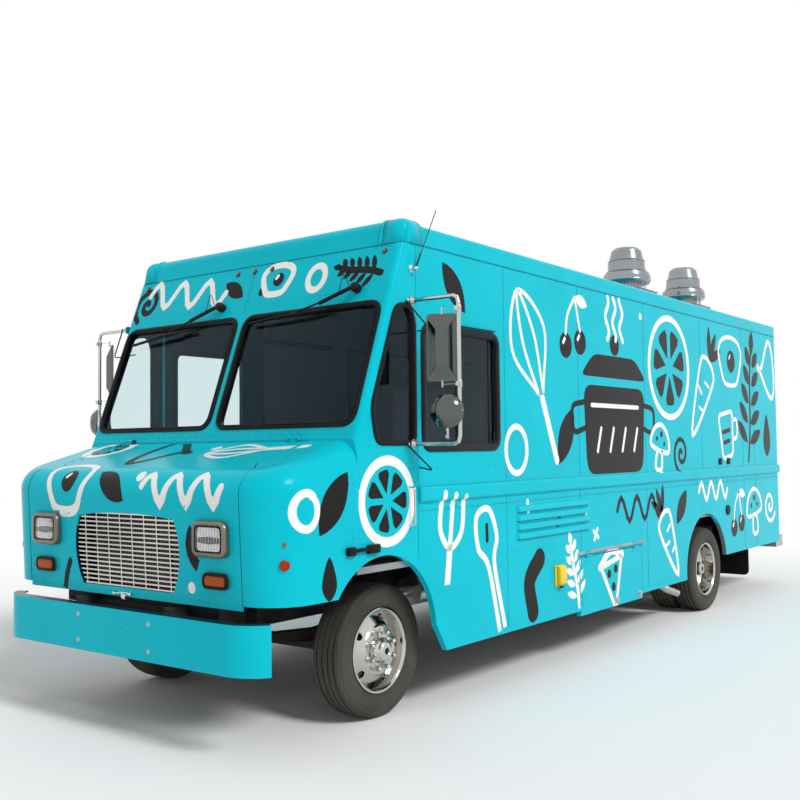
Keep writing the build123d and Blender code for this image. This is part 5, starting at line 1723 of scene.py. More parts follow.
@dataclass
class NoseSide:
    """Lamps, marker lights, latch and grab handle of one side of the nose.

    head and turn hold each lamp's place across, its height, its width and how tall it is.
    """

    side: int
    name: str
    head: tuple[float, float, float, float] = (0.764, 1.159, 0.27, 0.2)
    turn: tuple[float, float, float, float] = (0.79, 0.932, 0.2, 0.09)
    front: float = -4.288

    def build(self) -> None:
        """Make everything on this side."""
        self._head_lamp()
        self._turn_lamp()
        self._side_lights()
        self._rubber_latch()
        self._grab_handle()

    @staticmethod
    def _frame(rim: Piece, place: Matrix, edge: Sequence[Place], section: Sequence[Flat]) -> None:
        """Run a frame of some section round a lamp's edge."""
        rim.sweep([place @ Vector((*p[:2], 0)) for p in edge], section, (0, -1, 0), True)

    def _head_lamp(self) -> None:
        """A rectangular sealed-beam headlamp in a pressed bezel."""
        x, z, width, height = self.head
        place = plane((self.side * x, self.front, z), (1, 0, 0), (0, 0, 1))
        rim = Piece(f"headlamp_bezel_{self.name}", BEZEL, "lamp_chrome", "hood")
        self._frame(rim, place, outline(width - 0.03, height - 0.03, 0.04),
                    [(-0.013, 0.0), (0.015, 0.0), (0.015, 0.008), (0.008, 0.018),
                     (-0.004, 0.022), (-0.011, 0.016)])
        for dx, dz in ((0, 0.086), (0, -0.086)):
            spot = place @ Vector((dx, dz, 0.018))
            rim.rod(spot, spot + Vector((0, -0.005, 0)), 0.005, 12, 0.001)
        rim.done()
        band = Piece(f"headlamp_band_{self.name}", BLACK_METAL, "lamp_chrome", "hood")
        self._frame(band, place, outline(width - 0.062, height - 0.062, 0.034),
                    [(-0.006, 0.0), (0.006, 0.0), (0.006, 0.014), (-0.006, 0.012)])
        band.done()
        bowl = Piece(f"headlamp_bowl_{self.name}", CHROME, "lamp_chrome", "hood")
        inner = outline(width - 0.07, height - 0.07, 0.028)
        bowl.slab(inner, place @ Matrix.Translation((0, 0, 0.0005)), 0.003)
        for k in range(9):
            across = (k - 4) * 0.021
            bowl.box((across - 0.0015, -0.055, 0.003), (across + 0.0015, 0.055, 0.0055), place=place)
        bowl.done()
        # black strips in an oval band over the flat chrome bowl: a painted dark reflection in the
        # reflector
        dark_band = Piece(f"headlamp_bulb_{self.name}", BLACK_PLASTIC, "lamp_chrome", "hood")
        for k in range(9):
            across, high = (k - 4) * 0.021, 0.006 + 0.014 * (1 - abs(k - 4) / 5) ** 0.5
            dark_band.box((across - 0.0095, -0.006 - high, 0.003), (across + 0.0095, high - 0.006, 0.005),
                     place=place)
        dark_band.done()
        lens = Piece(f"headlamp_lens_{self.name}", LENS, "lamp_chrome", "hood")
        lens.slab(inner, place @ Matrix.Translation((0, 0, 0.0105)), 0.006, 0.0025)
        lens.done()

    def _turn_lamp(self) -> None:
        """An amber lamp in a rubber grommet."""
        x, z, width, height = self.turn
        place = plane((self.side * x, self.front + 0.02, z), (1, 0, 0), (0, 0, 1))
        rim = Piece(f"turn_grommet_{self.name}", RUBBER, "black_rubber", "hood")
        self._frame(rim, place, outline(width - 0.02, height - 0.02, 0.043),
                    [(-0.008, 0.0), (0.01, 0.0), (0.009, 0.012), (-0.006, 0.015)])
        rim.done()
        lens = Piece(f"turn_lens_{self.name}", AMBER, "lamp_chrome", "hood")
        lens.slab(outline(width - 0.034, height - 0.034, 0.0275), place, 0.012, 0.004)
        for column in range(7):
            for row in range(3):
                spot = place @ Vector((-0.063 + 0.021 * column, -0.0155 + 0.0155 * row, 0.0115))
                lens.ball(spot, 0.0065, (1, 1, 0.35), toward((0, -1, 0)))
        lens.done()

    def _side_lights(self) -> None:
        """The round side marker and the reflector below it."""
        spots = ((1.14, 0.0115, AMBER, "side_marker"), (1.031, 0.029, RED_LENS, "side_reflector"))
        turn, radius = radians(35.5), 0.26
        look = Vector((self.side * cos(turn), -sin(turn), 0))
        middle = Vector((self.side * (BODY_HALF - radius), -4.008, 0))
        for z, size, finish, label in spots:
            lamp = Piece(f"{label}_{self.name}", finish, "lamp_chrome")
            lamp.lathe([(-0.004, size), (0.006, size), (0.01, size * 0.8), (0.013, 0.0)],
                       middle + look * radius + Vector((0, 0, z)), look, 28)
            lamp.done()

    def _rubber_latch(self) -> None:
        """The pull-down rubber latch across the seam behind the fender."""
        latch = Piece(f"rubber_latch_{self.name}", RUBBER, "black_rubber")
        x, z = self.side * BODY_HALF, 1.065
        for y0, y1, half in ((-3.725, -3.655, 0.024), (-3.545, -3.44, 0.026)):
            latch.box((x, y0, z - half), (x + self.side * 0.03, y1, z + half), 0.009, 3)
        strap = [(x + self.side * out, y, z + up)
                 for out, y, up in ((0.018, -3.66, 0), (0.02, -3.6, 0.004), (0.018, -3.54, 0))]
        latch.sweep(strap, bead_section(0.022, 0.01), (self.side, 0, 0))
        latch.done()

    def _grab_handle(self) -> None:
        """The upright bar beside the cab's door."""
        bar = Piece(f"grab_handle_{self.name}", CHROME, "mirror_tube")
        x, y = self.side * BODY_HALF, -3.13
        corners = [(x + self.side * out, y, z)
                   for out, z in ((0, 1.175), (0.045, 1.175), (0.045, 1.405), (0, 1.405))]
        bar.sweep(eased(corners, 0.02), ring_section(0.006, 10))
        bar.done()


@dataclass
class NoseTrim:
    """The nose's lamps and latches, its catch, bumper bolts and radiator."""

    def build(self) -> None:
        """Make everything on the nose."""
        for side, name in SIDES:
            NoseSide(side, name).build()
        self._catch()
        self._bumper_bolts()
        self._radiator_shroud()

    def _catch(self) -> None:
        """The chromed catch at the foot of the nose panel."""
        catch = Piece("nose_catch", CHROME, "grille_chrome", "hood")
        y = -4.249
        catch.box((-0.065, y - 0.012, 0.79), (0.05, y, 0.812), 0.004)
        catch.box((-0.02, y - 0.03, 0.77), (0.02, y - 0.01, 0.806), 0.006)
        catch.rod((-0.12, y - 0.012, 0.8), (-0.05, y - 0.012, 0.8), 0.006, 12, 0.001)
        catch.rod((-0.1, y, 0.8), (-0.1, y - 0.02, 0.8), 0.01, 14, 0.002)
        catch.done()

    @staticmethod
    def _bumper_bolts() -> None:
        """Four bright domed bolts that hold the bumper."""
        bolts = Piece("bumper_bolts", ZINC, "galvanised")
        for x in (-0.328, 0.328):
            for z in (0.516, 0.668):
                bolts.lathe([(0.0, 0.0155), (0.003, 0.0155), (0.006, 0.013), (0.008, 0.008),
                             (0.0083, 0.0)], (x, -4.352, z), (0, -1, 0), 20)
        bolts.done()

    @staticmethod
    def _radiator_shroud() -> None:
        """The dark baffle round the radiator and the finned core behind the grille."""
        shroud = Piece("radiator_shroud", BLACK_PLASTIC, "engine_grey")
        for side, _ in SIDES:
            shroud.box((side * 0.4, -4.165, 0.76), (side * 0.7, -4.158, 1.36), 0.002)
        shroud.box((-0.7, -4.165, 1.33), (0.7, -4.158, 1.42), 0.002)
        shroud.box((-0.7, -4.165, 0.7), (0.7, -4.158, 0.78), 0.002)
        shroud.done()
        core = Piece("radiator_core", ENGINE, "engine_grey")
        for k in range(31):
            x = -0.375 + 0.025 * k
            core.box((x - 0.003, -4.1765, 0.8), (x + 0.003, -4.171, 1.31))
        for z in (0.797, 1.313):
            core.box((-0.385, -4.18, z - 0.012), (0.385, -4.171, z + 0.012), 0.003)
        core.done()


@dataclass
class BodyTrim:
    """Seams, louvres, hatch fittings and small lights of the box body."""

    def build(self) -> None:
        """Make the trim of both sides, the roof edge and the back."""
        self._seams()
        self._louvres()
        self._clearance_lamps()
        self._power_inlet()
        self._flap_fittings()
        self._vents()
        self._roof_corners()
        self._antenna()

    def _seams(self) -> None:
        """The lapped edges of the side and roof panels."""
        seams = Piece("panel_seams", SEAM_SHADE, "body_paint")
        lip = 0.0012
        for side, _ in SIDES:
            x = side * BODY_HALF
            uprights = (-3.038, -2.005, -0.905, 0.35, 1.7, 2.905, 3.28)
            for y in uprights:
                for z0, z1 in ((0.52 if y > 2 else 0.4, RAIL_Z0), (RAIL_Z1, SEAM_Z)):
                    blocked = side < 0 and -0.8 < y < 1.61 and z0 > 1.3
                    arch = -3.1 < y < -2.9 and z0 < 1
                    if blocked or abs(y - REAR_AXLE_Y) < 0.5 and z0 < 1:
                        continue
                    seams.box((x - lip, y - 0.0014, 0.95 if arch else z0), (x + lip, y + 0.0014, z1))
            seams.box((x - lip, -3.1, SEAM_Z - 0.002), (x + lip, BODY_REAR_Y, SEAM_Z + 0.002))
            seams.box((x - lip, PILLAR_Y, 1.2525), (x + lip, BODY_REAR_Y, 1.255))
        for ends in ((Glazing.shield_point(0.0, 2.565), Glazing.shield_point(0.0, SEAM_Z)),
                     (Glazing.shield_point(-1.2, SEAM_Z - 0.003),
                      Glazing.shield_point(1.2, SEAM_Z - 0.003))):
            seams.sweep(ends, bead_section(0.004, 0.0012), (0, -1, RAKE))
        seams.done()

    def _louvres(self) -> None:
        """Four pressed louvres, each with a black strip under it as painted shade in its slit."""
        hoods = Piece("side_louvres", TRIM_PAINT, "body_paint")
        slits = Piece("louvre_slits", BLACK_METAL, "frame_paint")
        y0, y1 = -1.875, -0.765
        for k in range(4):
            foot = 0.99 + 0.064 * k
            shape = [(0.0, 0.046), (0.008, 0.04), (0.017, 0.026), (0.021, 0.01), (0.021, 0.0), (0.0, 0.0)]
            part = bmesh.new()
            face = part.faces.new([part.verts.new((BODY_HALF + a, y0, foot + b)) for a, b in shape])
            raised = bmesh.ops.extrude_face_region(part, geom=[face])["geom"]
            far = [g for g in raised if isinstance(g, bmesh.types.BMVert)]
            bmesh.ops.translate(part, verts=far, vec=(0, y1 - y0, 0))
            for vert in part.verts:
                inward = -1 if vert in far else 1
                vert.co.y += inward * 0.9 * (vert.co.x - BODY_HALF)
            tidy(part)
            hoods.take(part)
            # a black strip on the wall: painted shade in the opening under the louvre's hood
            slits.box((BODY_HALF - 0.002, y0 + 0.01, foot - 0.0065),
                      (BODY_HALF + 0.0012, y1 - 0.01, foot + 0.001))
        hoods.done(30)
        slits.done()

    def _clearance_lamps(self) -> None:
        """Five small amber lamps over the windshield and red ones at the back."""
        cups = Piece("clearance_cups", BLACK_PLASTIC, "black_rubber")
        amber = Piece("clearance_amber", AMBER, "lamp_chrome")
        for x in (-1.13, -0.165, 0.0, 0.165, 1.13):
            spot = Glazing.shield_point(x, 2.852)
            cups.lathe([(0.0, 0.017), (0.006, 0.017), (0.008, 0.0135)], spot, SHIELD_FACING, 20)
            amber.lathe([(0.002, 0.0135), (0.008, 0.0125), (0.011, 0.008), (0.012, 0.0)], spot,
                        SHIELD_FACING, 20)
        amber.done()
        red = Piece("clearance_red", RED_LENS, "lamp_chrome")
        for x in (-1.12, -0.16, 0.0, 0.16, 1.12):
            spot = (x, BODY_REAR_Y, 2.79)
            cups.lathe([(0.0, 0.03), (0.008, 0.03), (0.01, 0.024)], spot, (0, 1, 0), 20)
            red.lathe([(0.004, 0.024), (0.012, 0.022), (0.018, 0.0)], spot, (0, 1, 0), 20)
        for side in (1, -1):
            for z, radius in ((1.18, 0.052), (1.05, 0.052), (0.92, 0.045)):
                spot = (side * 1.03, BODY_REAR_Y, z)
                cups.lathe([(0.0, radius + 0.01), (0.01, radius + 0.008), (0.012, radius)], spot,
                           (0, 1, 0), 28)
                red.lathe([(0.004, radius), (0.014, radius * 0.96), (0.02, radius * 0.6), (0.022, 0.0)],
                          spot, (0, 1, 0), 28)
        cups.done()
        red.done()

    def _power_inlet(self) -> None:
        """The yellow shore-power inlet with its flap."""
        inlet = Piece("power_inlet", YELLOW, "body_paint")
        y0, y1, z0, z1 = -1.345, -1.215, 0.595, 0.755
        inlet.box((BODY_HALF, y0, z0), (BODY_HALF + 0.014, y1, z1), 0.006, 3)
        inlet.box((BODY_HALF + 0.012, y0 + 0.015, z0 + 0.018),
                  (BODY_HALF + 0.052, y1 - 0.015, z1 - 0.012), 0.016, 3)
        inlet.rod((BODY_HALF + 0.03, y0 + 0.012, z1 - 0.014), (BODY_HALF + 0.03, y1 - 0.012, z1 - 0.014),
                  0.009, 14, 0.002)
        inlet.done()
        screws = Piece("power_inlet_screws", BLACK_METAL, "frame_paint")
        for y in (y0 + 0.012, y1 - 0.012):
            for z in (z0 + 0.012, z1 - 0.012):
                screws.rod((BODY_HALF + 0.013, y, z), (BODY_HALF + 0.017, y, z), 0.005, 10)
        screws.box((BODY_HALF + 0.02, y0 + 0.04, z0 - 0.008), (BODY_HALF + 0.036, y1 - 0.04, z0 + 0.004),
                   0.003)
        screws.done()

    def _flap_fittings(self) -> None:
        """Drip rail and catches of the generator flap."""
        rail = Piece("flap_drip_rail", ZINC, "galvanised")
        rail.box((BODY_HALF, -0.975, 0.8), (BODY_HALF + 0.018, 0.262, 0.803))
        rail.box((BODY_HALF, -0.975, 0.8), (BODY_HALF + 0.002, 0.262, 0.818))
        rail.done()
        catch = Piece("flap_catches", CHROME, "mirror_chrome", "generator_flap")
        for y in (-0.3, 0.155):
            catch.box((BODY_HALF, y - 0.035, 0.345), (BODY_HALF + 0.006, y + 0.035, 0.395), 0.002)
            catch.rod((BODY_HALF + 0.004, y, 0.37), (BODY_HALF + 0.022, y, 0.37), 0.015, 20, 0.003)
            catch.box((BODY_HALF + 0.016, y - 0.03, 0.364), (BODY_HALF + 0.024, y + 0.005, 0.376), 0.002)
        catch.done()

    def _vents(self) -> None:
        """Two small louvred vents and the round cap near the tail."""
        vents = Piece("tail_vents", BLACK_PLASTIC, "black_rubber")
        for y in (2.19, 2.43):
            vents.box((BODY_HALF, y - 0.045, 1.435), (BODY_HALF + 0.008, y + 0.045, 1.5), 0.003)
            for k in range(3):
                z = 1.447 + 0.017 * k
                vents.box((BODY_HALF + 0.006, y - 0.036, z), (BODY_HALF + 0.014, y + 0.036, z + 0.005),
                          0.001)
        vents.lathe([(0.0, 0.052), (0.01, 0.052), (0.016, 0.046), (0.018, 0.0)],
                    (BODY_HALF, 2.371, 0.961), (1, 0, 0), 32)
        vents.done()

    @staticmethod
    def _keep(part: Mesh, planes: Iterable[tuple[Place, Place]]) -> None:
        """Cut away what lies beyond each plane, given by a point and a direction.

        Args:
            part: the part.
            planes: each plane and the side that goes.
        """
        for point, away in planes:
            bmesh.ops.bisect_plane(part, geom=part.verts[:] + part.edges[:] + part.faces[:],
                                   plane_co=point, plane_no=away, dist=1e-5, clear_outer=True)

    @staticmethod
    def _thicken(skin: bpy.types.Object, thickness: float) -> None:
        """Give a skin a wall that grows inwards."""
        wall = skin.modifiers.new("wall", "SOLIDIFY")
        wall.thickness, wall.offset = thickness, -1.0

    def _roof_corners(self) -> None:
        """The domed corner castings of the cap, lapped over its skin."""
        skin = bmesh.new()
        skin.from_mesh(frame["nodes"]["roof"].data)
        bmesh.ops.remove_doubles(skin, verts=skin.verts[:], dist=1e-5)
        front = COWL_Y + RAKE * (SEAM_Z - COWL_Z)
        around = (((0, front + 0.2, 0), (0, 1, 0)), ((0, 0, SEAM_Z + 0.003), (0, 0, -1)))
        for side, name in SIDES:
            bead = skin.copy()
            self._keep(bead, (((side * 1.072, 0, 0), (-side, 0, 0)), ((side * 1.09, 0, 0), (side, 0, 0)),
                              *around))
            for vert in bead.verts:
                vert.co += vert.normal * 0.008
            band = Piece(f"cap_bead_{name}", TRIM_PAINT, "body_paint")
            self._thicken(band.take(bead).done(50), 0.009)
            part = skin.copy()
            self._keep(part, (((side * 1.1, 0, 0), (-side, 0, 0)), *around))
            inside = [f for f in part.faces if abs(f.calc_center_median().x) < 1.212
                      and f.normal.dot(Vector((0, -0.6, 0.8))) < 0.15]
            bmesh.ops.delete(part, geom=inside, context="FACES")
            for vert in part.verts:
                vert.co += vert.normal * 0.0055
            corner = Piece(f"roof_corner_{name}", TRIM_PAINT, "body_paint")
            self._thicken(corner.take(part).done(50), 0.005)
        skin.free()
        ridge = Piece("cap_ridges", TRIM_PAINT, "body_paint")
        for side, _ in SIDES:
            ridge.box((side * 1.2505 - 0.0035, front + 0.19, SEAM_Z + 0.006),
                      (side * 1.2505 + 0.0035, BODY_REAR_Y - 0.02, SEAM_Z + 0.01), 0.001)
        ridge.done()

    def _antenna(self) -> None:
        """The radio mast with its ball base on the driver's pillar."""
        base = Piece("antenna_base", CHROME, "mirror_tube")
        foot = Vector((BODY_HALF, -3.079, 2.743))
        base.lathe([(0.0, 0.024), (0.004, 0.024), (0.01, 0.016), (0.03, 0.012)], foot, (1, 0, 0), 24)
        base.ball(foot + Vector((0.034, 0, 0)), 0.014)
        base.done()
        mast = Piece("antenna_mast", BLACK_METAL, "black_rubber")
        start = foot + Vector((0.034, 0.0, 0.005))
        top = Vector((BODY_HALF + 0.065, -2.9, 3.13))
        mast.rod(start, start.lerp(top, 0.24), 0.0055, 10, 0.001)
        mast.rod(start.lerp(top, 0.22), top, 0.0028, 8)
        mast.done()


@dataclass
class MirrorSet:
    """The two mirrors of one side, added to the pieces that both sides share.

    turn is the angle by which the mirrors look inwards, in degrees.
    """

    side: int
    y: float
    turn: float
    shells: Piece
    glass: Piece
    straps: Piece
    braces: Piece
    top: float = 2.447
    foot: float = 2.035
    convex: float = 1.857

    def build(self) -> None:
        """Make the set."""
        self.inwards = Matrix.Rotation(radians(self.side * self.turn), 4, "Z")
        self._flat_head()
        self._round_head()
        self._clamps()
        self._braces()

    def _flat_head(self) -> None:
        """The tall mirror: a hipped chrome back and a flat glass."""
        height = self.top - self.foot
        place = (Matrix.Translation((self.side * 1.475, self.y, (self.top + self.foot) / 2))
                 @ self.inwards @ plane((0, 0.0265, 0), (1, 0, 0), (0, 0, 1)))
        part = bmesh.new()
        rim = outline(0.188, height - 0.002, 0.026)
        face = part.faces.new([part.verts.new((p.x, p.y, 0.0)) for p in rim])
        for rise, wide, high in ((0.015, 1.0, 1.0), (0.003, 0.985, 0.993), (0.001, 0.9, 0.955),
                                 (0.031, 0.42, 0.62), (0.002, 0.92, 0.97)):
            face = bmesh.ops.extrude_discrete_faces(part, faces=[face])["faces"][0]
            bmesh.ops.translate(part, verts=face.verts[:], vec=(0, 0, rise))
            bmesh.ops.scale(part, verts=face.verts[:], vec=(wide, high, 1.0))
        tidy(part)
        self.shells.take(part, place)
        self.glass.slab(outline(0.172, height - 0.018, 0.02), place @ Matrix.Translation((0, 0, -0.0015)),
                        0.003)

    def _round_head(self) -> None:
        """The round convex mirror with screws in its rim."""
        place = Matrix.Translation((self.side * 1.6, self.y, self.convex)) @ self.inwards
        middle = place @ Vector((-self.side * 0.072, -0.013, 0.0))
        ahead = self.inwards @ Vector((0, -1, 0))
        across = self.inwards @ Vector((1, 0, 0))
        self.shells.lathe([(0.0, 0.1), (0.004, 0.1018), (0.01, 0.1015), (0.016, 0.096), (0.04, 0.074),
                           (0.053, 0.045), (0.0575, 0.0)], middle, ahead, 64)
        self.glass.lathe([(-0.001, 0.0995), (0.004, 0.09), (0.01, 0.05), (0.0115, 0.0)], middle, -ahead,
                         64)
        screws = 14
        for k in range(screws):
            turn = tau * k / screws
            self.straps.ball(middle + ahead * 0.019 + across * (0.09 * cos(turn))
                             + Vector((0, 0, 0.09 * sin(turn))), 0.0035)
        self.straps.box(middle + Vector((-0.008, -0.006, -0.165)),
                        middle + Vector((0.008, 0.004, -0.095)), 0.002)
        self.straps.rod(middle + Vector((0, -0.004, -0.15)), middle + Vector((0, -0.02, -0.15)), 0.008,
                        12, 0.002)

    def _clamps(self) -> None:
        """The clamps on the tube and the short arms to the head."""
        side, y, straps = self.side, self.y, self.straps
        for z, out in ((self.top + 0.018, 0.018), (self.foot - 0.018, -0.018)):
            straps.rod((side * 1.6, y, z - 0.02), (side * 1.6, y, z + 0.02), 0.018, 16, 0.003)
            straps.box((side * 1.585, y - 0.026, z - 0.014), (side * 1.615, y - 0.01, z + 0.014), 0.003)
            straps.rod((side * 1.612, y - 0.014, z), (side * 1.624, y - 0.014, z), 0.009, 6, 0.001)
            straps.sweep([(side * 1.59, y, z), (side * 1.478, y, z)], bead_section(0.014, 0.004),
                         (0, 0, 1))
            straps.rod((side * 1.478, y, z - out * 1.6), (side * 1.478, y, z + out * 0.9), 0.0055, 12,
                       0.001)

    def _braces(self) -> None:
        """The flange bolts and the thin brace rods to the body."""
        side, y, x = self.side, self.y, self.side * BODY_HALF
        for z, drop in ((2.545, -0.2), (1.665, -0.16)):
            self.straps.lathe([(0.012, 0.026), (0.02, 0.024), (0.03, 0.016), (0.04, 0.0145)], (x, y, z),
                              (side, 0, 0), 24)
            self.straps.rod((x, y - 0.05, z), (x + side * 0.016, y - 0.05, z), 0.009, 6, 0.001)
            corners = [(x + side * 0.006, y - 0.05, z - 0.01), (x + side * 0.16, y - 0.01, z + drop),
                       (x + side * 0.004, y + 0.07, z + drop * 0.9)]
            self.braces.sweep(eased(corners, 0.03), ring_section(0.0048, 8))


@dataclass
class MirrorTrim:
    """Both mirror sets: backs, glasses, clamps and brace rods."""

    def build(self) -> None:
        """Make both mirror sets; the heads stand for the plain ones."""
        shells = Piece("mirror_shells", MIRROR_BACK, "mirror_chrome")
        glass = Piece("mirror_glasses", CHROME, "mirror_chrome")
        straps = Piece("mirror_clamps", CHROME, "mirror_tube")
        braces = Piece("mirror_braces", BLACK_METAL, "frame_paint")
        for side, y, turn in ((1, -3.09, 24), (-1, -3.285, 36)):
            MirrorSet(side, y, turn, shells, glass, straps, braces).build()
        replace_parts(shells.done(24), "mirror_heads")
        for piece in (glass, straps, braces):
            piece.done()


@dataclass
class Cushion:
    """One stuffed block: a rounded box, crowned on top and drawn in at its sides."""

    place: Matrix
    half: tuple[float, float, float]
    corner: float = 0.034
    crown: float = 0.016
    waist: float = 0.012
    cuts: int = 19

    def shaped(self, point: Vector) -> Vector:
        """Bring a point of the plain cube, -1 to 1 a side, to the cushion's skin.

        Args:
            point: the point of the cube.

        Returns:
            The point on the skin.
        """
        full = Vector([p * h for p, h in zip(point, self.half)])
        core = Vector([max(-(h - self.corner), min(h - self.corner, f)) for f, h in zip(full, self.half)])
        away = full - core
        skin = core + away.normalized() * self.corner if away.length > 1e-9 else full
        rise = (1 - point.x ** 2) * (1 - point.y ** 2)
        skin.z += self.crown * rise * (1 if point.z > 0 else -0.4) * abs(point.z)
        skin.x *= 1 - self.waist * (1 - point.y ** 2) * abs(point.x) * 4
        skin.y *= 1 - self.waist * (1 - point.x ** 2) * abs(point.y) * 4
        return skin

    def add_to(self, piece: Piece) -> None:
        """Make the stuffed block and add it to a piece.

        Args:
            piece: what the block joins.
        """
        part = bmesh.new()
        bmesh.ops.create_cube(part, size=2.0)
        bmesh.ops.subdivide_edges(part, edges=part.edges[:], cuts=self.cuts, use_grid_fill=True)
        for vert in part.verts:
            vert.co = self.shaped(vert.co)
        tidy(part)
        piece.take(part, self.place)

    def welt(self, piece: Piece, level: float) -> None:
        """Run the piped seam round the cushion at a level, -1 to 1.

        Args:
            piece: what the piping joins.
            level: its height.
        """
        steps = 14
        side = [-1 + 2 * k / steps for k in range(steps)]
        ring = ([(t, -1) for t in side] + [(1, t) for t in side] + [(-t, 1) for t in side]
                + [(-1, -t) for t in side])
        path = [self.place @ self.shaped(Vector((a, b, level))) for a, b in ring]
        piece.sweep(path, ring_section(0.0036, 8), closed=True)

    def seam(self, piece: Piece, start: Flat, end: Flat) -> None:
        """Stitch a thin seam over the top face from one flat point to another.

        Args:
            piece: what the stitching joins.
            start, end: the flat points.
        """
        a, b = Vector(start), Vector(end)
        spots = [a.lerp(b, k / 16) for k in range(17)]
        path = [self.place @ self.shaped(Vector((p.x, p.y, 1.0))) for p in spots]
        piece.sweep(path, ring_section(0.0024, 6))


@dataclass
class DriverSeat:
    """The driver's seat: stuffed cushions with piping, a pedestal and its slides."""

    x: float = 0.6

    def build(self) -> None:
        """Make the cushions, which stand for the plain seat, and its stand."""
        lying = Matrix.Translation((self.x, -2.41, 1.35))
        lean = atan2(0.09, 0.7)
        leaning = (Matrix.Translation((self.x, -2.149, 1.733))
                   @ Matrix.Rotation(radians(90) - lean, 4, "X"))
        resting = (Matrix.Translation((self.x, -2.104, 2.176)) @ Matrix.Rotation(radians(90), 4, "X"))
        cushions = {
            "seat_cushion": Cushion(lying, (0.25, 0.25, 0.044)),
            "seat_back": Cushion(leaning, (0.24, 0.345, 0.034), 0.03, 0.014),
            "seat_head_rest": Cushion(resting, (0.12, 0.084, 0.032), 0.026, 0.01),
        }
        piping = Piece("seat_piping", BLACK_PLASTIC, "seat_cover")
        for name, cushion in cushions.items():
            piece = Piece(name, SEAT_CLOTH, "seat_cover")
            cushion.add_to(piece)
            thing = piece.done(60)
            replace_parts(thing, "driver_seat")
            cushion.welt(piping, 0.72)
            cushion.welt(piping, -0.72)
            if name != "seat_head_rest":
                for across in (-0.55, 0.55):
                    cushion.seam(piping, (across, -0.92), (across, 0.92))
        piping.done()
        stand = Piece("seat_stand", BLACK_METAL, "frame_paint")
        stand.box((self.x - 0.16, -2.56, 0.96), (self.x + 0.16, -2.22, 0.985), 0.004)
        stand.box((self.x - 0.12, -2.52, 0.985), (self.x + 0.12, -2.26, 1.24), 0.02, 3)
        for x in (self.x - 0.17, self.x + 0.17):
            stand.box((x - 0.018, -2.62, 1.236), (x + 0.018, -2.18, 1.262), 0.003)
            stand.box((x - 0.012, -2.6, 1.262), (x + 0.012, -2.2, 1.3), 0.003)
            stand.box((x - 0.01, -2.215, 1.29), (x + 0.01, -2.15, 1.48), 0.004)
        for x in (self.x - 0.035, self.x + 0.035):
            stand.rod((x, -2.105, 2.05), (x, -2.105, 2.12), 0.006, 12)
        stand.rod((self.x - 0.25, -2.3, 1.3), (self.x + 0.25, -2.3, 1.3), 0.008, 12)
        stand.done()
        belt = Piece("seat_belt", BLACK_PLASTIC, "seat_cover")
        belt.sweep(smooth_line([(1.203, -2.02, 2.42), (1.19, -2.06, 1.9), (1.195, -2.08, 1.3),
                                (1.203, -2.1, 1.05)], 8), bead_section(0.046, 0.002), (1, 0, 0))
        belt.box((1.19, -2.05, 2.4), (1.208, -1.99, 2.46), 0.006)
        belt.done()


@dataclass
class CabDetails:
    """Dials, switches, vents, pedals and sun visors of the cab."""

    dash_y: float = -3.326

    def build(self) -> None:
        """Make the driver's controls."""
        cluster = Piece("dash_cluster", BLACK_PLASTIC, "cab_plastic")
        cluster.box((0.38, self.dash_y - 0.14, 1.652), (0.82, self.dash_y - 0.005, 1.735), 0.02, 3)
        cluster.done()
        dials = Piece("dash_dials", CHROME, "lamp_chrome")
        for x, radius in ((0.5, 0.044), (0.6, 0.026), (0.7, 0.044)):
            spot = (x, self.dash_y - 0.006, 1.693)
            dials.lathe([(0.0, radius), (0.006, radius), (0.008, radius - 0.003), (0.003, radius - 0.006),
                         (0.003, 0.0)], spot, (0, 1, 0), 32)
        for k in range(6):
            x = 0.08 + 0.045 * k
            dials.box((x, self.dash_y + 0.002, 1.545), (x + 0.026, self.dash_y + 0.01, 1.585), 0.003)
        dials.done()
        vents = Piece("dash_vents", BLACK_METAL, "cab_plastic")
        for x in (-0.95, -0.45, 0.18, 1.02):
            for k in range(5):
                z = 1.6 + 0.008 * k
                vents.box((x - 0.065, self.dash_y - 0.02, z), (x + 0.065, self.dash_y + 0.006, z + 0.003),
                          0.001)
        for x, low in ((0.47, 1.06), (0.6, 1.06), (0.74, 1.02)):
            vents.box((x - 0.035, -3.42, low), (x + 0.035, -3.405, low + 0.085), 0.006)
            vents.rod((x, -3.415, low + 0.04), (x, -3.47, low + 0.2), 0.008, 10)
        vents.done()
        visors = Piece("sun_visors", CAB_TRIM, "cab_plastic")
        for side, _ in SIDES:
            x = side * 0.62
            visors.box((x - 0.3, -3.19, 2.56), (x + 0.3, -3.174, 2.72), 0.007, 3)
            visors.rod((x - 0.28, -3.182, 2.722), (x + 0.28, -3.182, 2.722), 0.006, 10)
        visors.done()


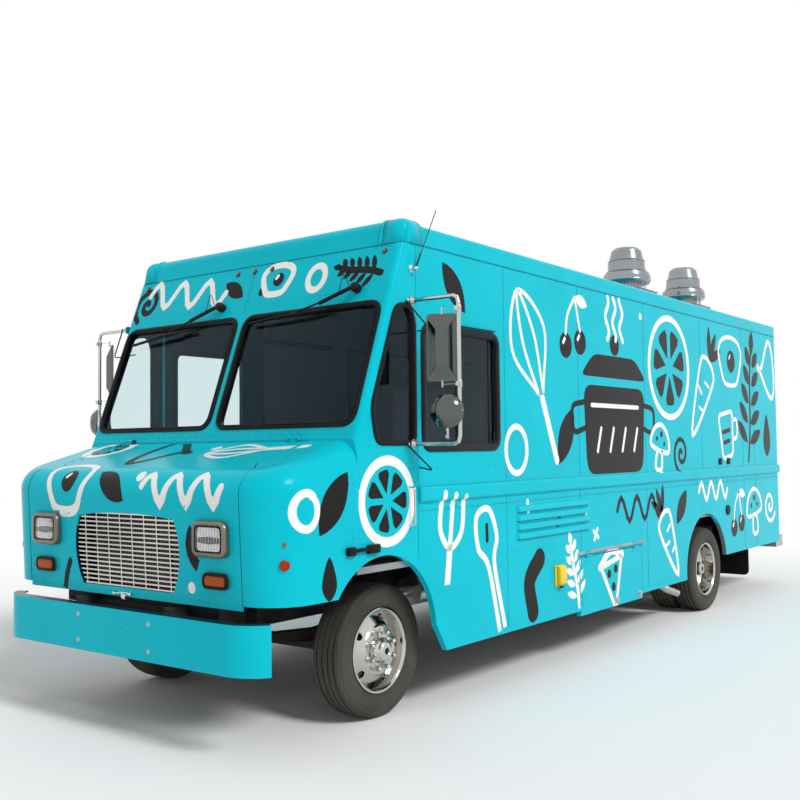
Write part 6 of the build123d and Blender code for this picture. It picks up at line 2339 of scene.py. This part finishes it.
@dataclass
class Kitchen:
    """Doors, hobs, shelves and filters of the kitchen behind the cab."""

    face: float = 0.56
    top: float = 1.86

    def build(self) -> None:
        """Make the kitchen's details."""
        self._cabinet_doors()
        self._cooking_top()
        self._counter_shelves()
        self._hood_filters()

    def _cabinet_doors(self) -> None:
        """Two doors with bar handles in each cabinet."""
        doors = Piece("cabinet_doors", STAINLESS, "stainless")
        bars = Piece("cabinet_handles", CHROME, "stainless")
        for y in (-0.6, 0.26, 1.12, 1.98):
            for y0, grip in ((y + 0.004, y + 0.35), (y + 0.392, y + 0.43)):
                doors.box((self.face + 0.004, y0, 1.084), (self.face + 0.03, y0 + 0.384, 1.716), 0.004)
                bars.sweep(eased([(self.face + 0.004, grip, 1.46), (self.face - 0.03, grip, 1.46),
                                  (self.face - 0.03, grip, 1.64), (self.face + 0.004, grip, 1.64)], 0.02),
                           ring_section(0.006, 10))
        doors.done()
        bars.done()

    def _cooking_top(self) -> None:
        """Six burners with grates, a griddle, control knobs and the sink tap."""
        iron = Piece("burner_grates", BLACK_METAL, "frame_paint")
        for x in (0.76, 1.05):
            for y in (0.92, 1.24, 1.56):
                iron.lathe([(0.0, 0.055), (0.01, 0.055), (0.014, 0.04), (0.014, 0.0)], (x, y, self.top),
                           (0, 0, 1), 24)
                for turn in (0, 90):
                    arm = Matrix.Rotation(radians(turn), 3, "Z") @ Vector((0.13, 0, 0))
                    spot = Vector((x, y, self.top + 0.03))
                    iron.sweep([spot - arm, spot + arm], bead_section(0.01, 0.012), (0, 0, 1))
                iron.sweep([(x - 0.13, y - 0.13, self.top + 0.012),
                            (x + 0.13, y - 0.13, self.top + 0.012),
                            (x + 0.13, y + 0.13, self.top + 0.012),
                            (x - 0.13, y + 0.13, self.top + 0.012)], bead_section(0.012, 0.028),
                           (0, 0, 1), True)
        iron.done()
        plate = Piece("griddle", STAINLESS, "stainless")
        plate.box((0.62, 1.78, self.top), (1.18, 2.68, self.top + 0.06), 0.006)
        plate.box((1.16, 1.78, self.top + 0.05), (1.18, 2.68, self.top + 0.15), 0.003)
        plate.box((0.6, 1.8, self.top - 0.02), (0.63, 2.66, self.top + 0.02), 0.006)
        plate.sweep(smooth_line([(1.14, 3.09, self.top), (1.14, 3.09, self.top + 0.24),
                                 (1.08, 3.09, self.top + 0.3), (0.98, 3.09, self.top + 0.27),
                                 (0.96, 3.09, self.top + 0.2)], 6), ring_section(0.011, 14))
        for y in (3.03, 3.15):
            plate.rod((1.14, y, self.top), (1.14, y, self.top + 0.05), 0.014, 16, 0.003)
        plate.done()
        knobs = Piece("range_knobs", BLACK_PLASTIC, "black_rubber")
        for k in range(9):
            y = 0.86 + 0.2 * k
            knobs.rod((self.face + 0.001, y, 1.785), (self.face - 0.022, y, 1.785), 0.022, 20, 0.004)
        knobs.done()

    def _counter_shelves(self) -> None:
        """A shelf in each bay of the serving counter and its top's raised edge."""
        shelves = Piece("counter_shelves", STAINLESS, "stainless")
        for y in (-1.0, 0.2, 1.4):
            shelves.box((-1.095, y + 0.003, 1.225), (-0.775, y + 1.137, 1.24), 0.002)
            shelves.box((-0.785, y + 0.003, 1.205), (-0.772, y + 1.137, 1.24), 0.002)
        shelves.box((-0.772, -1.05, 1.44), (-0.752, 2.6, 1.4705), 0.005)
        shelves.done()

    def _hood_filters(self) -> None:
        """The baffle filters on the slope of the extraction hood."""
        filters = Piece("hood_filters", STAINLESS, "stainless")
        for k in range(5):
            y = 0.76 + 0.52 * k
            filters.box((0.53, y, 2.262), (1.14, y + 0.49, 2.276), 0.003)
            for rib in range(8):
                x = 0.57 + 0.073 * rib
                filters.box((x, y + 0.02, 2.252), (x + 0.04, y + 0.47, 2.264), 0.003)
        filters.done()


@dataclass
class DoorTrim:
    """Handles, latches and edge strips of the doors, the hatch and the shelf."""

    def build(self) -> None:
        """Make the trim of every moving panel."""
        self._rear_doors()
        self._hatch()
        self._shelf()
        self._entry_door()
        self._number_plate()

    def _rear_doors(self) -> None:
        """Lock rods with cams and a paddle handle on the rear doors."""
        for side, name in SIDES:
            body = f"rear_door_{name}"
            rods = Piece(f"rear_door_lock_{name}", ZINC, "galvanised", body)
            x, y = side * 0.085, BODY_REAR_Y + 0.014
            rods.rod((x, y, 0.735), (x, y, 2.585), 0.009, 14, 0.002)
            for z in (0.8, 1.25, 1.95, 2.52):
                rods.box((x - 0.026, BODY_REAR_Y, z - 0.02), (x + 0.026, BODY_REAR_Y + 0.006, z + 0.02),
                         0.002)
                rods.box((x - 0.014, BODY_REAR_Y + 0.004, z - 0.014), (x + 0.014, y + 0.01, z + 0.014),
                         0.003)
            rods.box((x - 0.012, y, 1.52), (x + 0.012, y + 0.012, 1.56), 0.003)
            rods.sweep(eased([(x, y + 0.008, 1.54), (x + side * 0.1, y + 0.022, 1.54),
                              (x + side * 0.2, y + 0.022, 1.54)], 0.02),
                       bead_section(0.026, 0.007), (0, 0, 1))
            rods.done()
            seal = Piece(f"rear_door_edge_{name}", RUBBER, "black_rubber", body)
            seal.box((side * 0.004, BODY_REAR_Y - 0.002, 0.712),
                     (side * 0.016, BODY_REAR_Y + 0.003, 2.61), 0.001)
            seal.done()

    def _hatch(self) -> None:
        """The serving hatch's edge strips, latches and pull."""
        trim = Piece("hatch_edging", ZINC, "galvanised", "hatch")
        x0, x1 = -BODY_HALF - 0.003, -BODY_HALF + 0.001
        y0, y1, z0, z1 = -0.786, 1.596, 1.509, 2.52
        trim.box((x0, y0, z0), (x1, y1, z0 + 0.026), 0.001)
        trim.box((x0, y0, z0), (x1, y0 + 0.026, z1), 0.001)
        trim.box((x0, y1 - 0.026, z0), (x1, y1, z1), 0.001)
        trim.done()
        lip = Piece("serving_lip", RUBBER, "black_rubber")
        for low, high in (((-0.808, 2.542), (1.618, 2.576)), ((-0.808, 1.49), (1.618, 1.52)),
                          ((-0.808, 1.49), (-0.776, 2.576)), ((1.586, 1.49), (1.618, 2.576))):
            lip.box((-1.2092, *low), (-1.204, *high), 0.001)
        lip.done()
        latch = Piece("hatch_latches", CHROME, "mirror_chrome", "hatch")
        for y in (-0.45, 1.26):
            latch.box((x0 - 0.004, y - 0.055, 1.56), (x0 + 0.001, y + 0.055, 1.64), 0.004)
            latch.box((x0 - 0.01, y - 0.035, 1.575), (x0 - 0.003, y + 0.035, 1.612), 0.004)
            latch.rod((x0 - 0.003, y + 0.036, 1.627), (x0 - 0.008, y + 0.036, 1.627), 0.007, 14)
        latch.sweep(eased([(x0, 0.32, 1.575), (x0 - 0.032, 0.32, 1.575), (x0 - 0.032, 0.49, 1.575),
                           (x0, 0.49, 1.575)], 0.015), ring_section(0.006, 10))
        latch.done()

    def _shelf(self) -> None:
        """The folded edge along the serving shelf."""
        edge = Piece("shelf_edge", STAINLESS, "stainless", "shelf")
        x = -BODY_HALF - 0.042
        edge.rod((x, -0.733, 1.1185), (x, 1.543, 1.1185), 0.0105, 16, 0.003)
        for y in (-0.6, 0.405, 1.41):
            edge.box((x - 0.012, y - 0.02, 1.14), (x - 0.009, y + 0.02, 1.43), 0.001)
        edge.done()

    def _entry_door(self) -> None:
        """The entry door's outside handle and kick plate."""
        plate = Piece("entry_kick_plate", STAINLESS, "stainless", "entry_door")
        plate.box((-1.2015, -2.66, 0.52), (-1.1985, -2.1, 0.86), 0.001)
        plate.done()
        grip = Piece("entry_door_handle", CHROME, "mirror_chrome", "entry_door")
        grip.box((-1.208, -2.16, 1.24), (-1.1985, -2.08, 1.4), 0.003)
        grip.rod((-1.2085, -2.12, 1.275), (-1.205, -2.12, 1.275), 0.01, 16)
        grip.done()

    def _number_plate(self) -> None:
        """A blank number plate with its lamp below the right rear window."""
        plate = Piece("number_plate", WHITE_VINYL, "galvanised", "rear_door_right")
        plate.box((-0.535, BODY_REAR_Y, 0.86), (-0.23, BODY_REAR_Y + 0.003, 1.01), 0.001)
        plate.done()
        lamp = Piece("plate_lamp", CHROME, "lamp_chrome", "rear_door_right")
        lamp.box((-0.412, BODY_REAR_Y, 1.02), (-0.352, BODY_REAR_Y + 0.022, 1.04), 0.004)
        for x in (-0.5, -0.265):
            lamp.rod((x, BODY_REAR_Y + 0.002, 0.99), (x, BODY_REAR_Y + 0.006, 0.99), 0.006, 6)
        lamp.done()


@dataclass
class Underbody:
    """Tow hooks and the steps' tread under the body."""

    def build(self) -> None:
        """Make the underbody's details."""
        hooks = Piece("tow_hooks", ZINC, "galvanised")
        for side, _ in SIDES:
            x = side * 0.455
            hooks.sweep(smooth_line([(x, -4.12, 0.5), (x, -4.2, 0.47), (x, -4.262, 0.49),
                                     (x, -4.262, 0.545), (x, -4.215, 0.56)], 6),
                        ring_section(0.013, 12))
        hooks.done()
        tread = Piece("entry_step_tread", CHEQUER, "floor_metal")
        for k in range(6):
            y = -2.6 + 0.105 * k
            tread.box((-1.165, y, 0.441), (-0.93, y + 0.06, 0.446), 0.001)
        tread.done()


@dataclass
class FanTrim:
    """Seams, bolts, screens and curb flashings of the roof fans, with painted shade in the gap under each
    cap.
    """

    places: tuple[Flat, ...] = ((0.6, 1.455), (0.6, 2.955))

    def build(self) -> None:
        """Make the trim of both fans."""
        bands = Piece("fan_bands", SPUN, "spun_aluminium")
        dark = Piece("fan_gap_shade", BLACK_METAL, "frame_paint")
        for x, y in self.places:
            up = (0, 0, 1)
            bands.lathe([(3.398, 0.1905), (3.404, 0.1925), (3.41, 0.1915), (3.412, 0.189)], (x, y, 0), up,
                        72)
            bands.lathe([(3.503, 0.1835), (3.507, 0.1862), (3.512, 0.18)], (x, y, 0), up, 72)
            bands.lathe([(3.298, 0.2372), (3.304, 0.2392), (3.312, 0.2372)], (x, y, 0), up, 72)
            # a thin dark ring: painted shade in the gap under the cap's band
            dark.lathe([(3.3895, 0.203), (3.3945, 0.205), (3.3965, 0.19)], (x, y, 0), up, 64)
            for k in range(8):
                turn = tau * k / 8
                spot = Vector((x + 0.204 * cos(turn), y + 0.204 * sin(turn), 3.392))
                bands.rod(spot, spot + Vector((0, 0, 0.007)), 0.007, 8, 0.001)
            for k in range(24):
                turn = tau * k / 24
                out = Vector((cos(turn), sin(turn), 0))
                foot = Vector((x, y, 3.205)) + out * 0.185
                bands.rod(foot, Vector((x, y, 3.285)) + out * 0.185, 0.003, 6)
            bands.lathe([(3.2, 0.19), (3.206, 0.192), (3.212, 0.19)], (x, y, 0), up, 48)
            bands.box((x - 0.235, y - 0.235, 3.19), (x + 0.235, y + 0.235, 3.203), 0.003)
            bands.box((x - 0.262, y - 0.262, 3.032), (x + 0.262, y + 0.262, 3.038), 0.002)
        bands.done(30)
        dark.done()


@dataclass
class Studio:
    """Pale floor, soft light and the camera at the photograph's place."""

    eye: Place = (4.906, -7.991, 1.642)
    yaw: float = 37.409
    pitch: float = 2.739
    roll: float = -0.634
    focal_pixels: float = 1001.75
    frame_pixels: int = 800
    sensor: float = 36.0
    ambient: float = 0.55
    sun: float = 1.9
    sun_spread: float = 16.0
    fade_start: float = 5.0
    fade_end: float = 9.0

    def build(self) -> None:
        """Set up everything that isn't the truck."""
        self._floor()
        self._world()
        self._light()
        self._camera()
        bpy.context.scene.view_settings.view_transform = "Standard"

    def _floor(self) -> None:
        """A wide pale floor just under the tyres."""
        part = bmesh.new()
        bmesh.ops.create_grid(part, x_segments=1, y_segments=1, size=60.0)
        data = bpy.data.meshes.new("floor")
        part.to_mesh(data)
        part.free()
        ground = bpy.data.objects.new("floor", data)
        bpy.context.scene.collection.objects.link(ground)
        data.materials.append(self._floor_material())

    def _floor_material(self) -> bpy.types.Material:
        """Make a pale matt floor that fades into the white background far off.

        Returns:
            The floor's material.
        """
        material = bpy.data.materials.new("pale_floor")
        material.use_nodes = True
        net = Net(material.node_tree)
        shader = material.node_tree.nodes["Principled BSDF"]
        shader.inputs["Base Color"].default_value = (0.93, 0.93, 0.93, 1)
        shader.inputs["Roughness"].default_value = 0.9
        where = net.add("ShaderNodeTexCoord")
        far = net.add("ShaderNodeVectorMath", operation="LENGTH")
        net.link(where.outputs["Object"], far.inputs[0])
        fade = net.add("ShaderNodeMath", operation="MULTIPLY")
        shown = net.ranged(far.outputs["Value"], 0.0, 1.0, self.fade_start, self.fade_end)
        net.link(shown, fade.inputs[0])
        net.link(self._seen_directly(net), fade.inputs[1])
        white = net.add("ShaderNodeEmission")
        blend = net.add("ShaderNodeMixShader")
        net.link(fade.outputs[0], blend.inputs[0])
        net.link(shader.outputs[0], blend.inputs[1])
        net.link(white.outputs[0], blend.inputs[2])
        net.link(blend.outputs[0], material.node_tree.nodes["Material Output"].inputs[0])
        return material

    @staticmethod
    def _seen_directly(net: Net) -> Socket:
        """Give 1 for camera, glossy and transmission rays, else 0.

        Args:
            net: the node tree.

        Returns:
            The result's socket.
        """
        path = net.add("ShaderNodeLightPath")
        seen = path.outputs["Is Camera Ray"]
        for name in ("Is Glossy Ray", "Is Transmission Ray"):
            either = net.add("ShaderNodeMath", operation="MAXIMUM")
            net.link(seen, either.inputs[0])
            net.link(path.outputs[name], either.inputs[1])
            seen = either.outputs[0]
        return seen

    def _world(self) -> None:
        """White for the camera, glossy and transmission rays, soft light for the rest."""
        world = bpy.data.worlds.new("studio")
        world.use_nodes = True
        bpy.context.scene.world = world
        net = Net(world.node_tree)
        back = world.node_tree.nodes["Background"]
        back.inputs["Color"].default_value = (1, 1, 1, 1)
        net.link(net.ranged(self._seen_directly(net), self.ambient, 1.0, 0.0, 1.0),
                 back.inputs["Strength"])

    def _light(self) -> None:
        """One broad soft light from the driver's side."""
        lamp = bpy.data.lights.new("key", "SUN")
        lamp.energy = self.sun
        lamp.angle = radians(self.sun_spread)
        thing = bpy.data.objects.new("key", lamp)
        thing.matrix_world = toward((0.82, -0.1, 0.74))
        bpy.context.scene.collection.objects.link(thing)

    def _camera(self) -> None:
        """The camera, turned by yaw, pitch and roll."""
        yaw, pitch, roll = (radians(a) for a in (self.yaw, self.pitch, self.roll))
        ahead = Vector((-sin(yaw) * cos(pitch), cos(yaw) * cos(pitch), sin(pitch)))
        right = Vector((cos(yaw), sin(yaw), 0))
        up = right.cross(ahead)
        level = right * cos(roll) + up * sin(roll)
        upright = up * cos(roll) - right * sin(roll)
        lens = bpy.data.cameras.new("camera")
        lens.sensor_width = self.sensor
        lens.lens = self.focal_pixels / self.frame_pixels * self.sensor
        lens.clip_end = 200
        thing = bpy.data.objects.new("camera", lens)
        place = Matrix((level, upright, -ahead)).transposed().to_4x4()
        place.translation = Vector(self.eye)
        thing.matrix_world = place
        bpy.context.scene.collection.objects.link(thing)
        bpy.context.scene.camera = thing


def main() -> None:
    """Build the truck's looks piece by piece and log each piece's face count."""
    logging.basicConfig(level=logging.INFO, format="%(message)s")
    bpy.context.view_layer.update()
    Studio().build()
    dress_nodes()
    build_tyres()
    for side, name in SIDES:
        WheelTrim(side, name, True).build()
        WheelTrim(side, name, False).build()
    Glazing().build()
    Wipers().build()
    NoseTrim().build()
    BodyTrim().build()
    MirrorTrim().build()
    FanTrim().build()
    DriverSeat().build()
    CabDetails().build()
    Kitchen().build()
    DoorTrim().build()
    Underbody().build()
    sides = side_views()
    rivet_all(sides, Artwork(sides).build())


if __name__ == "__main__":
    main()
